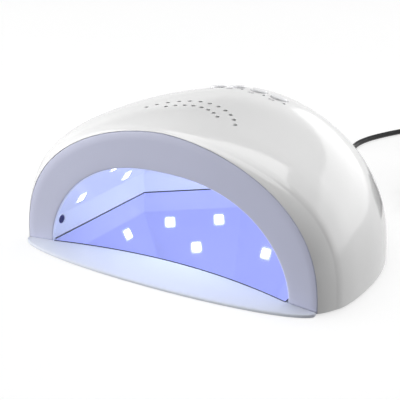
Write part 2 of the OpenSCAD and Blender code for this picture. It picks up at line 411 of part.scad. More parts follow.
upper_shell();
front_bezel();
bottom_frame();
reflector_liner();
led_board_left();
led_board_right();
led_board_rear_left();
led_board_rear_right();
led_board_rear();
led_board_top();
led_chips();
led_lenses();
ir_emitter();
ir_receiver();
control_board();
board_spacers();
board_screws();
control_chip();
power_inductor();
smoothing_capacitors();
switch_bodies();
indicator_light_pipes();
dc_jack();
jack_centre_pin();
power_wires();
board_jumper_wires();
case_screws();
liner_screws();
rubber_feet();
frame_magnets();
base_tray();
mirror_plate();
tray_magnets();
timer_button_1();
timer_button_2();
timer_button_3();
timer_button_4();
switch_plunger_1();
switch_plunger_2();
switch_plunger_3();
switch_plunger_4();
plug_barrel();
plug_grip();
plug_strain_relief();
dc_cord();
cord_coil();
cord_tie();
dc_cord_tail();
adapter_strain_relief();
adapter_case_front();
adapter_case_back();
adapter_pins();
adapter_screws();
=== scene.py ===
import json
import math

import bmesh
import bpy
import numpy as np
from mathutils import Matrix, Vector
from mathutils.bvhtree import BVHTree


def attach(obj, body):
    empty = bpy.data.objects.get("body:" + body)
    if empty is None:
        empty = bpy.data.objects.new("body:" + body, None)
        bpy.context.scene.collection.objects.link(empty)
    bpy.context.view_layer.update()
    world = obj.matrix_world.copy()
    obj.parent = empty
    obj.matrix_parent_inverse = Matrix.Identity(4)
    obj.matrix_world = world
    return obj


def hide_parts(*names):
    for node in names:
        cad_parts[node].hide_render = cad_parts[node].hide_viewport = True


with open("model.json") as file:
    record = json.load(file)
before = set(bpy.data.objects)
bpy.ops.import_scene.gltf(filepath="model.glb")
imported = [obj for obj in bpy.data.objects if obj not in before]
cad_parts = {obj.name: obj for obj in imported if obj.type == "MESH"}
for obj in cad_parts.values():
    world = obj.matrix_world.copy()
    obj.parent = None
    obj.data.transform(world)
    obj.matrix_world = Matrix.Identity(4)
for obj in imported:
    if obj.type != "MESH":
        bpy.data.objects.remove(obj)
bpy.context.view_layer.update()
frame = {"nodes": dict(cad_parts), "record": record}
NODES = frame["nodes"]
SCENE = bpy.context.scene
COLL = SCENE.collection

# ---------------------------------------------------------------- lamp frame: mm, bezel face at y = 0, shell rim at z = 0
CY, FZ = 71.8, 1.0


def R(p):
    """Lamp frame in mm to the row frame in metres."""
    p = np.asarray(p, float)
    return (p + np.array([0.0, -CY, FZ])) * 0.001


def V(x, y, z):
    return Vector(R((x, y, z)))


# ---------------------------------------------------------------- camera
cam_data = bpy.data.cameras.new("camera")
cam = bpy.data.objects.new("camera", cam_data)
COLL.objects.link(cam)
cam_data.sensor_fit = "HORIZONTAL"
cam_data.sensor_width = 36.0
cam_data.lens = 1425.573 * 36.0 / 400.0
cam_data.clip_start, cam_data.clip_end = 0.02, 50.0
AZ, EL = math.radians(31.867), math.radians(22.169)
BACK = Vector((math.sin(AZ) * math.cos(EL), -math.cos(AZ) * math.cos(EL), math.sin(EL)))
cam.location = V(384.588, -582.744, 327.338)
cam.rotation_mode = "QUATERNION"
cam.rotation_quaternion = (-BACK).to_track_quat("-Z", "Y")
SCENE.camera = cam

# ---------------------------------------------------------------- form functions
WM, YM, DM, PW, QW, CW = 101.5, 29.3, 166.8, 2.44, 1.097, 0.00676
HM, YH, PH, QH, CH, EH = 85.6, 30.0, 2.65, 1.857, 0.00642, 1.967
WALL, REAR = 2.4, 161.0
LIP_W, LIP_H, LIP_N, LIP_M = 92.4, 80.0, 1.78, 2.586
OPEN_W, OPEN_H, OPEN_Z, OPEN_N, OPEN_M = 75.3, 53.9, 3.7, 2.478, 1.723
REBATE = 2.3


def wy(y):
    y = np.asarray(y, float)
    t = np.clip((y - YM) / (DM - YM), 0, 1)
    return np.where(y < YM, WM - CW * (YM - y) ** 2, WM * np.maximum(0, 1 - t**PW) ** (1 / QW))


def hy(y):
    y = np.asarray(y, float)
    t = np.clip((y - YH) / (DM - YH), 0, 1)
    return np.where(y < YH, HM - CH * np.maximum(YH - y, 0) ** EH, HM * np.maximum(0, 1 - t**PH) ** (1 / QH))


def ft(y):
    return np.clip((np.asarray(y, float) - 20) / 140, 0, 1)


def ny(y):
    return 1.841 - 0.372 * ft(y)


def my(y):
    return 2.76 - 0.281 * ft(y)


def gi(y):
    return np.clip((np.asarray(y, float) - 90) / 70, 0, 1)


def iw(y):
    return wy(y + WALL * gi(y)) - WALL * (1 - 0.5 * gi(y))


def ih(y):
    return hy(y + WALL * gi(y)) - WALL * (1 - 0.5 * gi(y))


def arch(w, h, n, m, t):
    c, s = np.cos(t), np.sin(t)
    return w * np.sign(c) * np.abs(c) ** (2 / n), h * np.abs(s) ** (2 / m)


def surf(x, y):
    return hy(y) * np.maximum(0, 1 - (np.abs(x) / wy(y)) ** ny(y)) ** (1 / my(y))


def crease(t):
    return 1.5 + 0.0154 * 80 * np.abs(np.sin(t)) ** 0.72 + 10.4 * np.abs(np.cos(t)) ** 2.17


# ---------------------------------------------------------------- mesh helpers
def make(name, verts, faces, body, node=(), smooth=True, sharp=35.0, mats=()):
    me = bpy.data.meshes.new(name)
    me.from_pydata([tuple(v) for v in np.asarray(verts, float)], [], [tuple(int(i) for i in f) for f in faces])
    me.update()
    bm = bmesh.new()
    bm.from_mesh(me)
    bmesh.ops.recalc_face_normals(bm, faces=bm.faces)
    for f in bm.faces:
        f.smooth = smooth
    if smooth:
        lim = math.radians(sharp)
        for e in bm.edges:
            e.smooth = not (len(e.link_faces) == 2 and e.calc_face_angle(0.0) > lim)
    bm.to_mesh(me)
    bm.free()
    ob = bpy.data.objects.new(name, me)
    COLL.objects.link(ob)
    for m in mats:
        me.materials.append(m)
    if body:
        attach(ob, body)
    if node:
        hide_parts(*([node] if isinstance(node, str) else node))
    return ob


def from_bm(name, bm, body, node=(), sharp=35.0, mats=(), smooth=True):
    me = bpy.data.meshes.new(name)
    bmesh.ops.recalc_face_normals(bm, faces=bm.faces)
    lim = math.radians(sharp)
    for f in bm.faces:
        f.smooth = smooth
    for e in bm.edges:
        e.smooth = not (len(e.link_faces) == 2 and e.calc_face_angle(0.0) > lim)
    bm.to_mesh(me)
    bm.free()
    ob = bpy.data.objects.new(name, me)
    COLL.objects.link(ob)
    for m in mats:
        me.materials.append(m)
    if body:
        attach(ob, body)
    if node:
        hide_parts(*([node] if isinstance(node, str) else node))
    return ob


def lathe_into(verts, faces, profile, mat, seg=48):
    """profile is a list of (radius, height); mat takes local x, y, z (mm) to row metres. Ends at radius 0 are closed."""
    base = len(verts)
    rows = []
    for r, h in profile:
        if r < 1e-6:
            verts.append(mat((0, 0, h)))
            rows.append([len(verts) - 1])
        else:
            row = []
            for k in range(seg):
                a = 2 * math.pi * k / seg
                verts.append(mat((r * math.cos(a), r * math.sin(a), h)))
                row.append(len(verts) - 1)
            rows.append(row)
    for a, b in zip(rows, rows[1:]):
        for k in range(seg):
            q = (k + 1) % seg
            if len(a) == 1 and len(b) == 1:
                continue
            if len(a) == 1:
                faces.append((a[0], b[k], b[q]))
            elif len(b) == 1:
                faces.append((a[k], a[q], b[0]))
            else:
                faces.append((a[k], a[q], b[q], b[k]))
    return base


def axis_map(origin, axis, up=(0, 0, 1)):
    """Local z along axis at origin, lamp frame, to row metres."""
    z = np.array(axis, float)
    z /= np.linalg.norm(z)
    u = np.array(up, float)
    if abs(u @ z) > 0.95:
        u = np.array([1.0, 0, 0])
    x = np.cross(u, z)
    x /= np.linalg.norm(x)
    y = np.cross(z, x)
    o = np.array(origin, float)
    return lambda p: R(o + p[0] * x + p[1] * y + p[2] * z)


def round_profile(pts, r, n=4):
    """Rounds the inner corners of an open polyline in 2D with arcs about radius r."""
    out = [pts[0]]
    for k in range(1, len(pts) - 1):
        a, b, c = (np.array(pts[i], float) for i in (k - 1, k, k + 1))
        rr = r[k] if isinstance(r, (list, tuple)) else r
        la, lc = np.linalg.norm(a - b), np.linalg.norm(c - b)
        d = min(rr, 0.45 * la, 0.45 * lc)
        if d < 1e-4:
            out.append(tuple(b))
            continue
        p, q = b + (a - b) / la * d, b + (c - b) / lc * d
        for i in range(n + 1):
            t = i / n
            out.append(tuple((1 - t) ** 2 * p + 2 * t * (1 - t) * b + t * t * q))
    out.append(pts[-1])
    return out


def bez3(p, b, q, n):
    t = np.linspace(0, 1, n)[:, None]
    return (1 - t) ** 2 * p + 2 * t * (1 - t) * b + t * t * q


def weighted(ob):
    """Large flat faces keep their own normal; only the small bevel faces beside them are shaded round."""
    md = ob.modifiers.new("wn", "WEIGHTED_NORMAL")
    md.mode, md.weight, md.keep_sharp = "FACE_AREA", 80, True
    bpy.context.view_layer.update()
    me = bpy.data.meshes.new_from_object(ob.evaluated_get(bpy.context.evaluated_depsgraph_get()))
    ob.modifiers.remove(md)
    old = ob.data
    me.name = old.name + "_n"
    ob.data = me
    bpy.data.meshes.remove(old)
    return ob


# ---------------------------------------------------------------- materials
def lin(c):
    c = c / 255.0
    return c / 12.92 if c <= 0.04045 else ((c + 0.055) / 1.055) ** 2.4


def rgb(r, g, b):
    return (lin(r), lin(g), lin(b), 1.0)


def material(name, color, rough, metallic=0.0, vary=0.03, vary_scale=30.0, rough_vary=0.06, rough_scale=60.0, bump=0.0, bump_scale=900.0,
             bump_dist=0.00005, coat=0.0, coat_rough=0.05, emit=None, emit_strength=0.0, ior=1.5, transmission=0.0, specular=0.5, detail=4.0, dark=None, stretch=None):
    m = bpy.data.materials.new(name)
    m.use_nodes = True
    nt = m.node_tree
    nt.nodes.clear()
    out = nt.nodes.new("ShaderNodeOutputMaterial")
    b = nt.nodes.new("ShaderNodeBsdfPrincipled")
    nt.links.new(b.outputs[0], out.inputs[0])
    b.inputs["Metallic"].default_value = metallic
    b.inputs["IOR"].default_value = ior
    b.inputs["Coat Weight"].default_value = coat
    b.inputs["Coat Roughness"].default_value = coat_rough
    b.inputs["Transmission Weight"].default_value = transmission
    b.inputs["Specular IOR Level"].default_value = specular
    tc = nt.nodes.new("ShaderNodeTexCoord")
    vec = tc.outputs["Object"]
    if stretch:
        mp = nt.nodes.new("ShaderNodeMapping")
        mp.inputs["Scale"].default_value = stretch
        nt.links.new(vec, mp.inputs["Vector"])
        vec = mp.outputs[0]
    n1 = nt.nodes.new("ShaderNodeTexNoise")
    n1.inputs["Scale"].default_value = vary_scale
    n1.inputs["Detail"].default_value = detail
    nt.links.new(vec, n1.inputs["Vector"])
    ramp = nt.nodes.new("ShaderNodeValToRGB")
    c = np.array(color[:3])
    lo = np.array(dark[:3]) if dark is not None else c * (1 - vary)
    hi = np.minimum(c * (1 + vary), 1.0)
    ramp.color_ramp.elements[0].position, ramp.color_ramp.elements[1].position = 0.3, 0.7
    ramp.color_ramp.elements[0].color = (*lo, 1)
    ramp.color_ramp.elements[1].color = (*hi, 1)
    nt.links.new(n1.outputs["Fac"], ramp.inputs[0])
    nt.links.new(ramp.outputs[0], b.inputs["Base Color"])
    n2 = nt.nodes.new("ShaderNodeTexNoise")
    n2.inputs["Scale"].default_value = rough_scale
    n2.inputs["Detail"].default_value = 5.0
    nt.links.new(vec, n2.inputs["Vector"])
    mr = nt.nodes.new("ShaderNodeMapRange")
    mr.inputs["From Min"].default_value, mr.inputs["From Max"].default_value = 0.3, 0.7
    mr.inputs["To Min"].default_value = max(0.01, rough - rough_vary)
    mr.inputs["To Max"].default_value = min(1.0, rough + rough_vary)
    nt.links.new(n2.outputs["Fac"], mr.inputs["Value"])
    nt.links.new(mr.outputs[0], b.inputs["Roughness"])
    if bump > 0:
        n3 = nt.nodes.new("ShaderNodeTexNoise")
        n3.inputs["Scale"].default_value = bump_scale
        n3.inputs["Detail"].default_value = 3.0
        nt.links.new(vec, n3.inputs["Vector"])
        bp = nt.nodes.new("ShaderNodeBump")
        bp.inputs["Strength"].default_value = bump
        bp.inputs["Distance"].default_value = bump_dist
        nt.links.new(n3.outputs["Fac"], bp.inputs["Height"])
        nt.links.new(bp.outputs[0], b.inputs["Normal"])
    if emit is not None:
        b.inputs["Emission Color"].default_value = emit
        b.inputs["Emission Strength"].default_value = emit_strength
    return m


M = {}
M["shell_white"] = material("shell_white", rgb(240, 240, 240), 0.13, vary=0.012, vary_scale=14, rough_vary=0.03, rough_scale=35, bump=0.12, bump_scale=260, bump_dist=0.00002, coat=0.25, coat_rough=0.03)
M["bezel_satin"] = material("bezel_satin", rgb(203, 206, 229), 0.5, vary=0.015, vary_scale=25, rough_vary=0.05, rough_scale=80, bump=0.25, bump_scale=2600, bump_dist=0.00002)
# liner: white plastic; its blue tint and faint blue emission are painted light, standing in for LED light on the walls
M["liner_white"] = material("liner_white", rgb(226, 230, 246), 0.22, vary=0.012, vary_scale=30, rough_vary=0.05, bump=0.1, bump_scale=900, bump_dist=0.00002, emit=(0.68, 0.78, 0.93, 1), emit_strength=0.27)
M["frame_white"] = material("frame_white", rgb(228, 228, 229), 0.5, vary=0.02, vary_scale=30, bump=0.3, bump_scale=1800, bump_dist=0.00004)
# tray: white plastic; its blue tint is painted light, standing in for the LEDs' blue light on the tray and sill
M["tray_white"] = material("tray_white", rgb(222, 227, 239), 0.34, vary=0.002, vary_scale=60, rough_vary=0.008, bump=0.15, bump_scale=1500, bump_dist=0.00002)
M["mirror_steel"] = material("mirror_steel", rgb(216, 216, 255), 0.045, metallic=1.0, vary=0.01, vary_scale=20, rough_vary=0.015, rough_scale=40, bump=0.03, bump_scale=60, bump_dist=0.00002)
# mirror_edge: painted shade; the plate's side and bevel faces are made dark to draw the dark line where the walls meet
# the mirror
M["mirror_edge"] = material("mirror_edge", rgb(50, 58, 84), 0.5, metallic=0.3, vary=0.08, vary_scale=200)
M["shadow_gap"] = material("shadow_gap", rgb(24, 26, 40), 0.7, vary=0.1, vary_scale=200)
M["led_chip"] = material("led_chip", rgb(240, 226, 150), 0.4, vary=0.05, vary_scale=400)
M["board_white"] = material("board_white", rgb(232, 234, 232), 0.35, vary=0.02, vary_scale=80, bump=0.2, bump_scale=700, bump_dist=0.00003)
M["board_green"] = material("board_green", rgb(22, 112, 62), 0.32, vary=0.12, vary_scale=180, bump=0.3, bump_scale=600, bump_dist=0.00003, coat=0.3)
M["ir_dark"] = material("ir_dark", rgb(48, 44, 92), 0.12, vary=0.1, vary_scale=300, coat=0.4)
M["component_black"] = material("component_black", rgb(38, 38, 40), 0.45, vary=0.12, vary_scale=200, bump=0.2, bump_scale=2500, bump_dist=0.00003)
M["capacitor_can"] = material("capacitor_can", rgb(150, 152, 160), 0.35, metallic=0.9, vary=0.06, vary_scale=200)
M["spacer_nylon"] = material("spacer_nylon", rgb(232, 231, 222), 0.45, vary=0.03, vary_scale=150)
M["screw_steel"] = material("screw_steel", rgb(186, 188, 192), 0.3, metallic=1.0, vary=0.06, vary_scale=400, rough_vary=0.1, rough_scale=500)
M["magnet_nickel"] = material("magnet_nickel", rgb(196, 197, 200), 0.22, metallic=1.0, vary=0.05, vary_scale=200)
M["button_white"] = material("button_white", rgb(244, 244, 246), 0.14, vary=0.012, vary_scale=60, rough_vary=0.04, bump=0.08, bump_scale=500, bump_dist=0.00002, coat=0.3)
M["light_pipe"] = material("light_pipe", rgb(92, 94, 100), 0.15, vary=0.06, vary_scale=300, coat=0.5)
M["wire_red"] = material("wire_red", rgb(170, 24, 20), 0.45, vary=0.08, vary_scale=200)
M["wire_white"] = material("wire_white", rgb(226, 226, 226), 0.45, vary=0.04, vary_scale=200)
M["foot_rubber"] = material("foot_rubber", rgb(48, 48, 50), 0.75, vary=0.12, vary_scale=200, bump=0.5, bump_scale=1500, bump_dist=0.00006)
M["contact_brass"] = material("contact_brass", rgb(214, 184, 112), 0.25, metallic=1.0, vary=0.05, vary_scale=200)
M["plug_nickel"] = material("plug_nickel", rgb(206, 207, 210), 0.18, metallic=1.0, vary=0.04, vary_scale=150, rough_vary=0.08, rough_scale=300)
M["cord_black"] = material("cord_black", rgb(38, 38, 40), 0.42, vary=0.14, vary_scale=160, rough_vary=0.1, rough_scale=120, bump=0.35, bump_scale=1200, bump_dist=0.00004)
M["adapter_black"] = material("adapter_black", rgb(40, 40, 42), 0.5, vary=0.1, vary_scale=120, rough_vary=0.08, bump=0.6, bump_scale=2200, bump_dist=0.00005)
M["print_grey"] = material("print_grey", rgb(128, 126, 132), 0.5, vary=0.06, vary_scale=500)
M["led_glow"] = material("led_glow", rgb(240, 243, 255), 0.15, vary=0.02, vary_scale=400, emit=(0.86, 0.90, 1.0, 1), emit_strength=4.5)
M["led_rim"] = material("led_rim", rgb(226, 232, 255), 0.12, vary=0.02, vary_scale=400, coat=0.3, emit=(0.72, 0.8, 1.0, 1), emit_strength=0.75)
# bezel_lip: painted light, a faint blue glow on white plastic standing in for LED light falling on the bezel's inner
# lip
M["bezel_lip"] = material("bezel_lip", rgb(224, 228, 246), 0.3, vary=0.01, vary_scale=100, emit=(0.62, 0.72, 1.0, 1), emit_strength=0.35)
M["button_seam"] = M["component_black"]

# ---------------------------------------------------------------- upper shell
NT = 200
TS = np.linspace(0, math.pi, NT + 1)
TS = TS - 0.10 * np.sin(4 * TS) / 4
TS[0], TS[-1] = 0.0, math.pi
lip_x, lip_z = arch(LIP_W, LIP_H, LIP_N, LIP_M, TS)


def body_pt(y, t, w=None, h=None):
    a, b = arch((wy(y) if w is None else w), (hy(y) if h is None else h), ny(y), my(y), t)
    return np.stack([a, np.broadcast_to(y, a.shape), b], -1)


def inner_pt(y, t, k=0.0):
    a, b = arch(iw(y) - k, ih(y) - k, ny(y), my(y), t)
    return np.stack([a, np.broadcast_to(y, a.shape), b], -1)


cr_y = crease(TS)
LIP = np.stack([lip_x, 0 * lip_x, lip_z], -1)
CRS = body_pt(cr_y, TS)
NXT = body_pt(cr_y + 6.0, TS)
band = np.linalg.norm(CRS - LIP, axis=1)[:, None]
rad = np.minimum(2.4, 0.48 * band)
to_lip = (LIP - CRS) / band
nlen = np.linalg.norm(NXT - CRS, axis=1)[:, None]
to_nxt = (NXT - CRS) / nlen
A0 = CRS + to_lip * rad
B0 = body_pt(cr_y + rad[:, 0] * (6.0 / nlen[:, 0]), TS)
outer = []
# rolled front edge of the lip, then the band with a slight crown, then the rounded crease
er = 0.35
outer.append(LIP + np.array([0, 1, 0]) * er)
outer.append(LIP + np.array([0, 1, 0]) * er * 0.3 - to_lip * er * 0.25)
outer.append(LIP - to_lip * er)
bn = np.cross(np.roll(LIP, -1, 0) - np.roll(LIP, 1, 0), to_lip)
bn[0], bn[-1] = bn[1] * [1, 1, 0], bn[-2] * [1, 1, 0]
bn /= np.linalg.norm(bn, axis=1)[:, None]
bn *= np.sign((bn * np.stack([lip_x, -40 + 0 * lip_x, lip_z], -1)).sum(1))[:, None]
for f in (0.2, 0.4, 0.6, 0.8, 0.95):
    outer.append(LIP - to_lip * er + (A0 - (LIP - to_lip * er)) * f + bn * (band * 0.05) * math.sin(math.pi * f) * 0.6)
for f in np.linspace(0, 1, 8):
    outer.append((1 - f) ** 2 * A0 + 2 * f * (1 - f) * CRS + f * f * B0)
y0 = cr_y + rad[:, 0] * (6.0 / nlen[:, 0])
YE = REAR - 3.2
NB = 96
for g in np.linspace(0, 1, NB + 1)[1:]:
    gg = g**0.97
    outer.append(body_pt(y0 + (YE - y0) * gg, TS))
# rounded edge into the flat rear pad
P0 = body_pt(np.full_like(TS, YE), TS)
PK = body_pt(np.full_like(TS, REAR - 0.9), TS)
PK[:, 1] = REAR
P2 = body_pt(np.full_like(TS, REAR), TS, wy(REAR) - 3.2, hy(REAR) - 3.2)
for f in np.linspace(0, 1, 9)[1:]:
    outer.append((1 - f) ** 2 * P0 + 2 * f * (1 - f) * PK + f * f * P2)
for k in (6.0, 9.0):
    outer.append(body_pt(np.full_like(TS, REAR), TS, wy(REAR) - k, hy(REAR) - k * 1.6))
NR = len(outer)
inner = [np.stack([lip_x, np.full_like(lip_x, REBATE), lip_z], -1)]
sx, sz = arch(LIP_W - 1.2, LIP_H - 1.2, LIP_N, LIP_M, TS)
inner.append(np.stack([sx, np.full_like(sx, REBATE), sz], -1))
yi0 = cr_y + 1.0
yi1 = REAR - WALL - 0.6
nb = NR - 2 - 2
for g in np.linspace(0, 1, nb):
    inner.append(inner_pt(yi0 + (yi1 - yi0) * g, TS))
inner.append(inner_pt(np.full_like(TS, REAR - WALL), TS, 0.8))
inner.append(inner_pt(np.full_like(TS, REAR - WALL), TS, 5.0))
assert len(inner) == NR
sv = np.concatenate([np.concatenate(outer), np.concatenate(inner), [[0, REAR, 0], [0, REAR - WALL, 0]]])
n1 = NT + 1
O = lambda i, j: 2 * NR * n1 if i == NR else i * n1 + j
I = lambda i, j: 2 * NR * n1 + 1 if i == NR else (NR + i) * n1 + j
sf = []
for i in range(NR):
    for j in range(NT):
        if i == NR - 1:
            sf.append((O(i, j), O(i + 1, 0), O(i, j + 1)))
            sf.append((I(i, j), I(i, j + 1), I(i + 1, 0)))
        else:
            sf.append((O(i, j), O(i + 1, j), O(i + 1, j + 1), O(i, j + 1)))
            sf.append((I(i, j), I(i, j + 1), I(i + 1, j + 1), I(i + 1, j)))
for j in range(NT):
    sf.append((O(0, j), O(0, j + 1), I(0, j + 1), I(0, j)))
for i in range(NR):
    a, b, c, d = O(i, 0), O(i + 1, 0), I(i + 1, 0), I(i, 0)
    sf.append((a, d, c, b))
    a, b, c, d = O(i, NT), O(i + 1, NT), I(i + 1, NT), I(i, NT)
    sf.append((a, b, c, d))


def plain_object(name, verts, faces):
    me = bpy.data.meshes.new(name)
    me.from_pydata([tuple(v) for v in verts], [], [tuple(int(i) for i in f) for f in faces])
    me.update()
    bm = bmesh.new()
    bm.from_mesh(me)
    bmesh.ops.recalc_face_normals(bm, faces=bm.faces)
    for f in bm.faces:
        f.smooth = True
    bm.to_mesh(me)
    bm.free()
    ob = bpy.data.objects.new(name, me)
    COLL.objects.link(ob)
    return ob


shell_raw = plain_object("shell_raw", R(sv), sf)

VENTS = [(24.5 * math.sin(q), 8.9 + 24.5 * math.cos(q)) for q in (math.radians((i - 3.5) * 11.75) for i in range(8))]
VENTS += [(32.6 * math.sin(q), 8.9 + 32.6 * math.cos(q)) for q in (math.radians((i - 5.5) * 10.66) for i in range(12))]
BTN_X = [-20.0, -7.0, 7.0, 20.0]
BTN_Y, BTN_R = 88.0, 4.8
PIPES = [(x + 6.5, BTN_Y - 6.5) for x in BTN_X]
JACK_Z = 13.0
cv, cf = [], []


def hole(x, y, r, ch, seg):
    z = float(surf(x, y))
    up = axis_map((x, y, 0), (0, 0, 1))
    lathe_into(cv, cf, [(0, 56), (r, 56), (r, z - ch), (r + ch, z + 0.02), (r + ch + 1.2, z + 1.2), (r + ch + 1.2, z + 12), (0, z + 12)], up, seg)


for x, y in VENTS:
    hole(x, y, 1.25, 0.1, 20)
for x in BTN_X:
    z = float(surf(x, BTN_Y))
    lathe_into(cv, cf, [(0, 56), (BTN_R + 0.3, 56), (BTN_R + 0.3, z + 14), (0, z + 14)], axis_map((x, BTN_Y, 0), (0, 0, 1)), 64)
for x, y in PIPES:
    lathe_into(cv, cf, [(0, 56), (1.0, 56), (1.0, 95), (0, 95)], axis_map((x, y, 0), (0, 0, 1)), 20)
lathe_into(cv, cf, [(0, 150), (5.6, 150), (5.6, REAR - 0.4), (6.2, REAR + 0.2), (6.2, REAR + 4), (0, REAR + 4)], axis_map((0, 0, JACK_Z), (0, 1, 0)), 64)
cutter = plain_object("cutter", cv, cf)


def boolean(ob, cut, name, op="DIFFERENCE"):
    md = ob.modifiers.new("cut", "BOOLEAN")
    md.operation, md.object, md.solver = op, cut, "EXACT"
    md.use_self = False
    bpy.context.view_layer.update()
    me = bpy.data.meshes.new_from_object(ob.evaluated_get(bpy.context.evaluated_depsgraph_get()))
    me.name = name
    ob.modifiers.remove(md)
    return me


shell_me = boolean(shell_raw, cutter, "upper_shell_skin")
# surface normals of the uncut skin are carried over to the faces next to the holes, so that reflections stay smooth
raw = shell_raw.data
bvh = BVHTree.FromObject(shell_raw, bpy.context.evaluated_depsgraph_get())
rn = np.zeros(len(raw.vertices) * 3)
raw.vertices.foreach_get("normal", rn)
rn = rn.reshape(-1, 3)
rc = np.zeros(len(raw.vertices) * 3)
raw.vertices.foreach_get("co", rc)
rc = rc.reshape(-1, 3)
bm = bmesh.new()
bm.from_mesh(shell_me)
for f in bm.faces:
    f.smooth = True
lim = math.radians(28)
for e in bm.edges:
    e.smooth = not (len(e.link_faces) == 2 and e.calc_face_angle(0.0) > lim)
bm.to_mesh(shell_me)
bm.free()
centres = [R((x, y, float(surf(x, y)))) for x, y in VENTS + PIPES] + [R((x, BTN_Y, float(surf(x, BTN_Y)))) for x in BTN_X] + [R((0, REAR, JACK_Z))]
reach = [0.0045] * (len(VENTS) + len(PIPES)) + [0.009] * 5
C3, RE = np.array(centres), np.array(reach)
custom = [(0.0, 0.0, 0.0)] * len(shell_me.loops)
raw_poly = raw.polygons
for p in shell_me.polygons:
    c = np.array(p.center)
    d = np.linalg.norm(C3 - c, axis=1)
    if not (d < RE + 0.004).any() and len(p.vertices) <= 4:
        continue
    loc, nrm, idx, dist = bvh.find_nearest(Vector(c))
    if dist > 2e-5 or nrm.dot(p.normal) < 0.97:
        continue
    for li in p.loop_indices:
        v = shell_me.vertices[shell_me.loops[li].vertex_index].co
        loc, nrm, idx, dist = bvh.find_nearest(v)
        vs = list(raw_poly[idx].vertices)
        w = 1.0 / (np.linalg.norm(rc[vs] - np.array(v), axis=1) + 1e-7) ** 2
        n = (rn[vs] * w[:, None]).sum(0)
        n /= np.linalg.norm(n)
        custom[li] = tuple(n)
shell_me.normals_split_custom_set(custom)
shell_me.materials.clear()
shell_me.materials.append(M["shell_white"])
shell = bpy.data.objects.new("upper_shell_skin", shell_me)
COLL.objects.link(shell)
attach(shell, "housing")
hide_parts("upper_shell")
bpy.data.objects.remove(shell_raw)
bpy.data.objects.remove(cutter)

# ---------------------------------------------------------------- bezel: flat plate with a rolled inner lip
NBZ = 240
tb = np.linspace(0, math.pi, NBZ + 1)
ox, oz = arch(92.15, 79.75, LIP_N, LIP_M, tb)
ax, az_ = arch(OPEN_W, OPEN_H, OPEN_N, OPEN_M, tb)
az_ = az_ + OPEN_Z
# the inner edge runs down below the springing of the arch to the foot of the plate
outline_o = np.stack([ox, oz], -1)
outline_i = np.stack([ax, az_], -1)


def leg(points, z0):
    """Adds the straight legs of the opening down to z0."""
    x = points[0][0]
    low = [np.array([x, z]) for z in np.linspace(z0, points[0][1], 5)[:-1]]
    high = [np.array([-x, z]) for z in np.linspace(points[-1][1], z0, 5)[1:]]
    return np.array(low + list(points) + high)


inner_line = leg(outline_i, 0.02)
# outer line resampled to the same number of points
k_extra = (len(inner_line) - len(outline_o)) // 2
tt = np.linspace(0, math.pi, len(inner_line))
ox, oz = arch(92.15, 79.75, LIP_N, LIP_M, tt)
outer_line = np.stack([ox, np.maximum(oz, 0.02)], -1)


def line_normal(line):
    d = np.gradient(line, axis=0)
    n = np.stack([d[:, 1], -d[:, 0]], -1)
    n /= np.linalg.norm(n, axis=1)[:, None]
    mid = np.array([0.0, 20.0])
    s = np.sign(((line - mid) * n).sum(1))
    n *= s[:, None]
    return n


no_, ni_ = line_normal(outer_line), line_normal(inner_line)
no_[0], no_[-1] = [1, 0], [-1, 0]
ni_[0], ni_[-1] = [1, 0], [-1, 0]
prof_o = [(0.0, 1.9), (0.0, 0.45), (-0.12, 0.14), (-0.45, 0.0)]
prof_i = [(1.5, 0.0), (0.9, 0.07), (0.45, 0.25), (0.12, 0.6), (0.0, 1.1), (0.0, 1.98)]
rows = []
for off, y in prof_o:
    p = outer_line + no_ * off
    rows.append(np.stack([p[:, 0], np.full(len(p), y), np.maximum(p[:, 1], 0.02)], -1))
for f in (0.25, 0.5, 0.75):
    a = outer_line + no_ * -0.45
    b = inner_line + ni_ * 1.5
    p = a + (b - a) * f
    rows.append(np.stack([p[:, 0], np.zeros(len(p)), np.maximum(p[:, 1], 0.02)], -1))
for off, y in prof_i:
    p = inner_line + ni_ * off
    rows.append(np.stack([p[:, 0], np.full(len(p), y), np.maximum(p[:, 1], 0.02)], -1))
nr, nc = len(rows), len(inner_line)
bv = np.concatenate(rows)
bf = []
for i in range(nr):
    k = (i + 1) % nr
    for j in range(nc - 1):
        bf.append((i * nc + j, i * nc + j + 1, k * nc + j + 1, k * nc + j))
bf.append([i * nc for i in range(nr)])
bf.append([i * nc + nc - 1 for i in range(nr)][::-1])
bezel = make("front_bezel_plate", R(bv), bf, "housing", "front_bezel", mats=[M["bezel_satin"], M["bezel_lip"]], sharp=40)
# the inner lip rows take the bezel's second material, a painted blue glow of LED light
glow_lip_from = len(prof_o) + 3
for k, p in enumerate(bezel.data.polygons):
    if k < nr * (nc - 1) and glow_lip_from + 2 <= k // (nc - 1) < nr - 1:
        p.material_index = 1

# ---------------------------------------------------------------- plan of the cavity floor
SL = (75 - 70.9) / 87.2
SN = np.array([-math.cos(math.atan(SL)), -math.sin(math.atan(SL))])
DN = np.array([-0.6364, -0.7713])
BN = np.array([0.0, -1.0])
PS, PD, PB = np.array([75, -1.5]), np.array([70.9, 85.7]), np.array([0, 124.4])
LEAN, WZ, CZ = 0.6, 16.0, 58.0


def meet(p, n, q, m):
    return np.linalg.solve(np.array([n, m]), np.array([p @ n, q @ m]))


def plan_side(o, y0):
    return np.array([(PS @ SN + o - SN[1] * y0) / SN[0], y0])


def plan_v1(o):
    return meet(PS + SN * o, SN, PD + DN * o, DN)


def plan_v2(o):
    return meet(PD + DN * o, DN, PB + BN * o, BN)


def flip(p):
    return np.array([-p[0], p[1]])


def edge_y(x):
    return -1.1 + 11.4 * (1 - (x / OPEN_W) ** 2)


def sill_y(x):
    return -0.4 - 17.0 * np.maximum(0, 1 - (np.abs(x) / 92.4) ** 2.036) ** 0.491


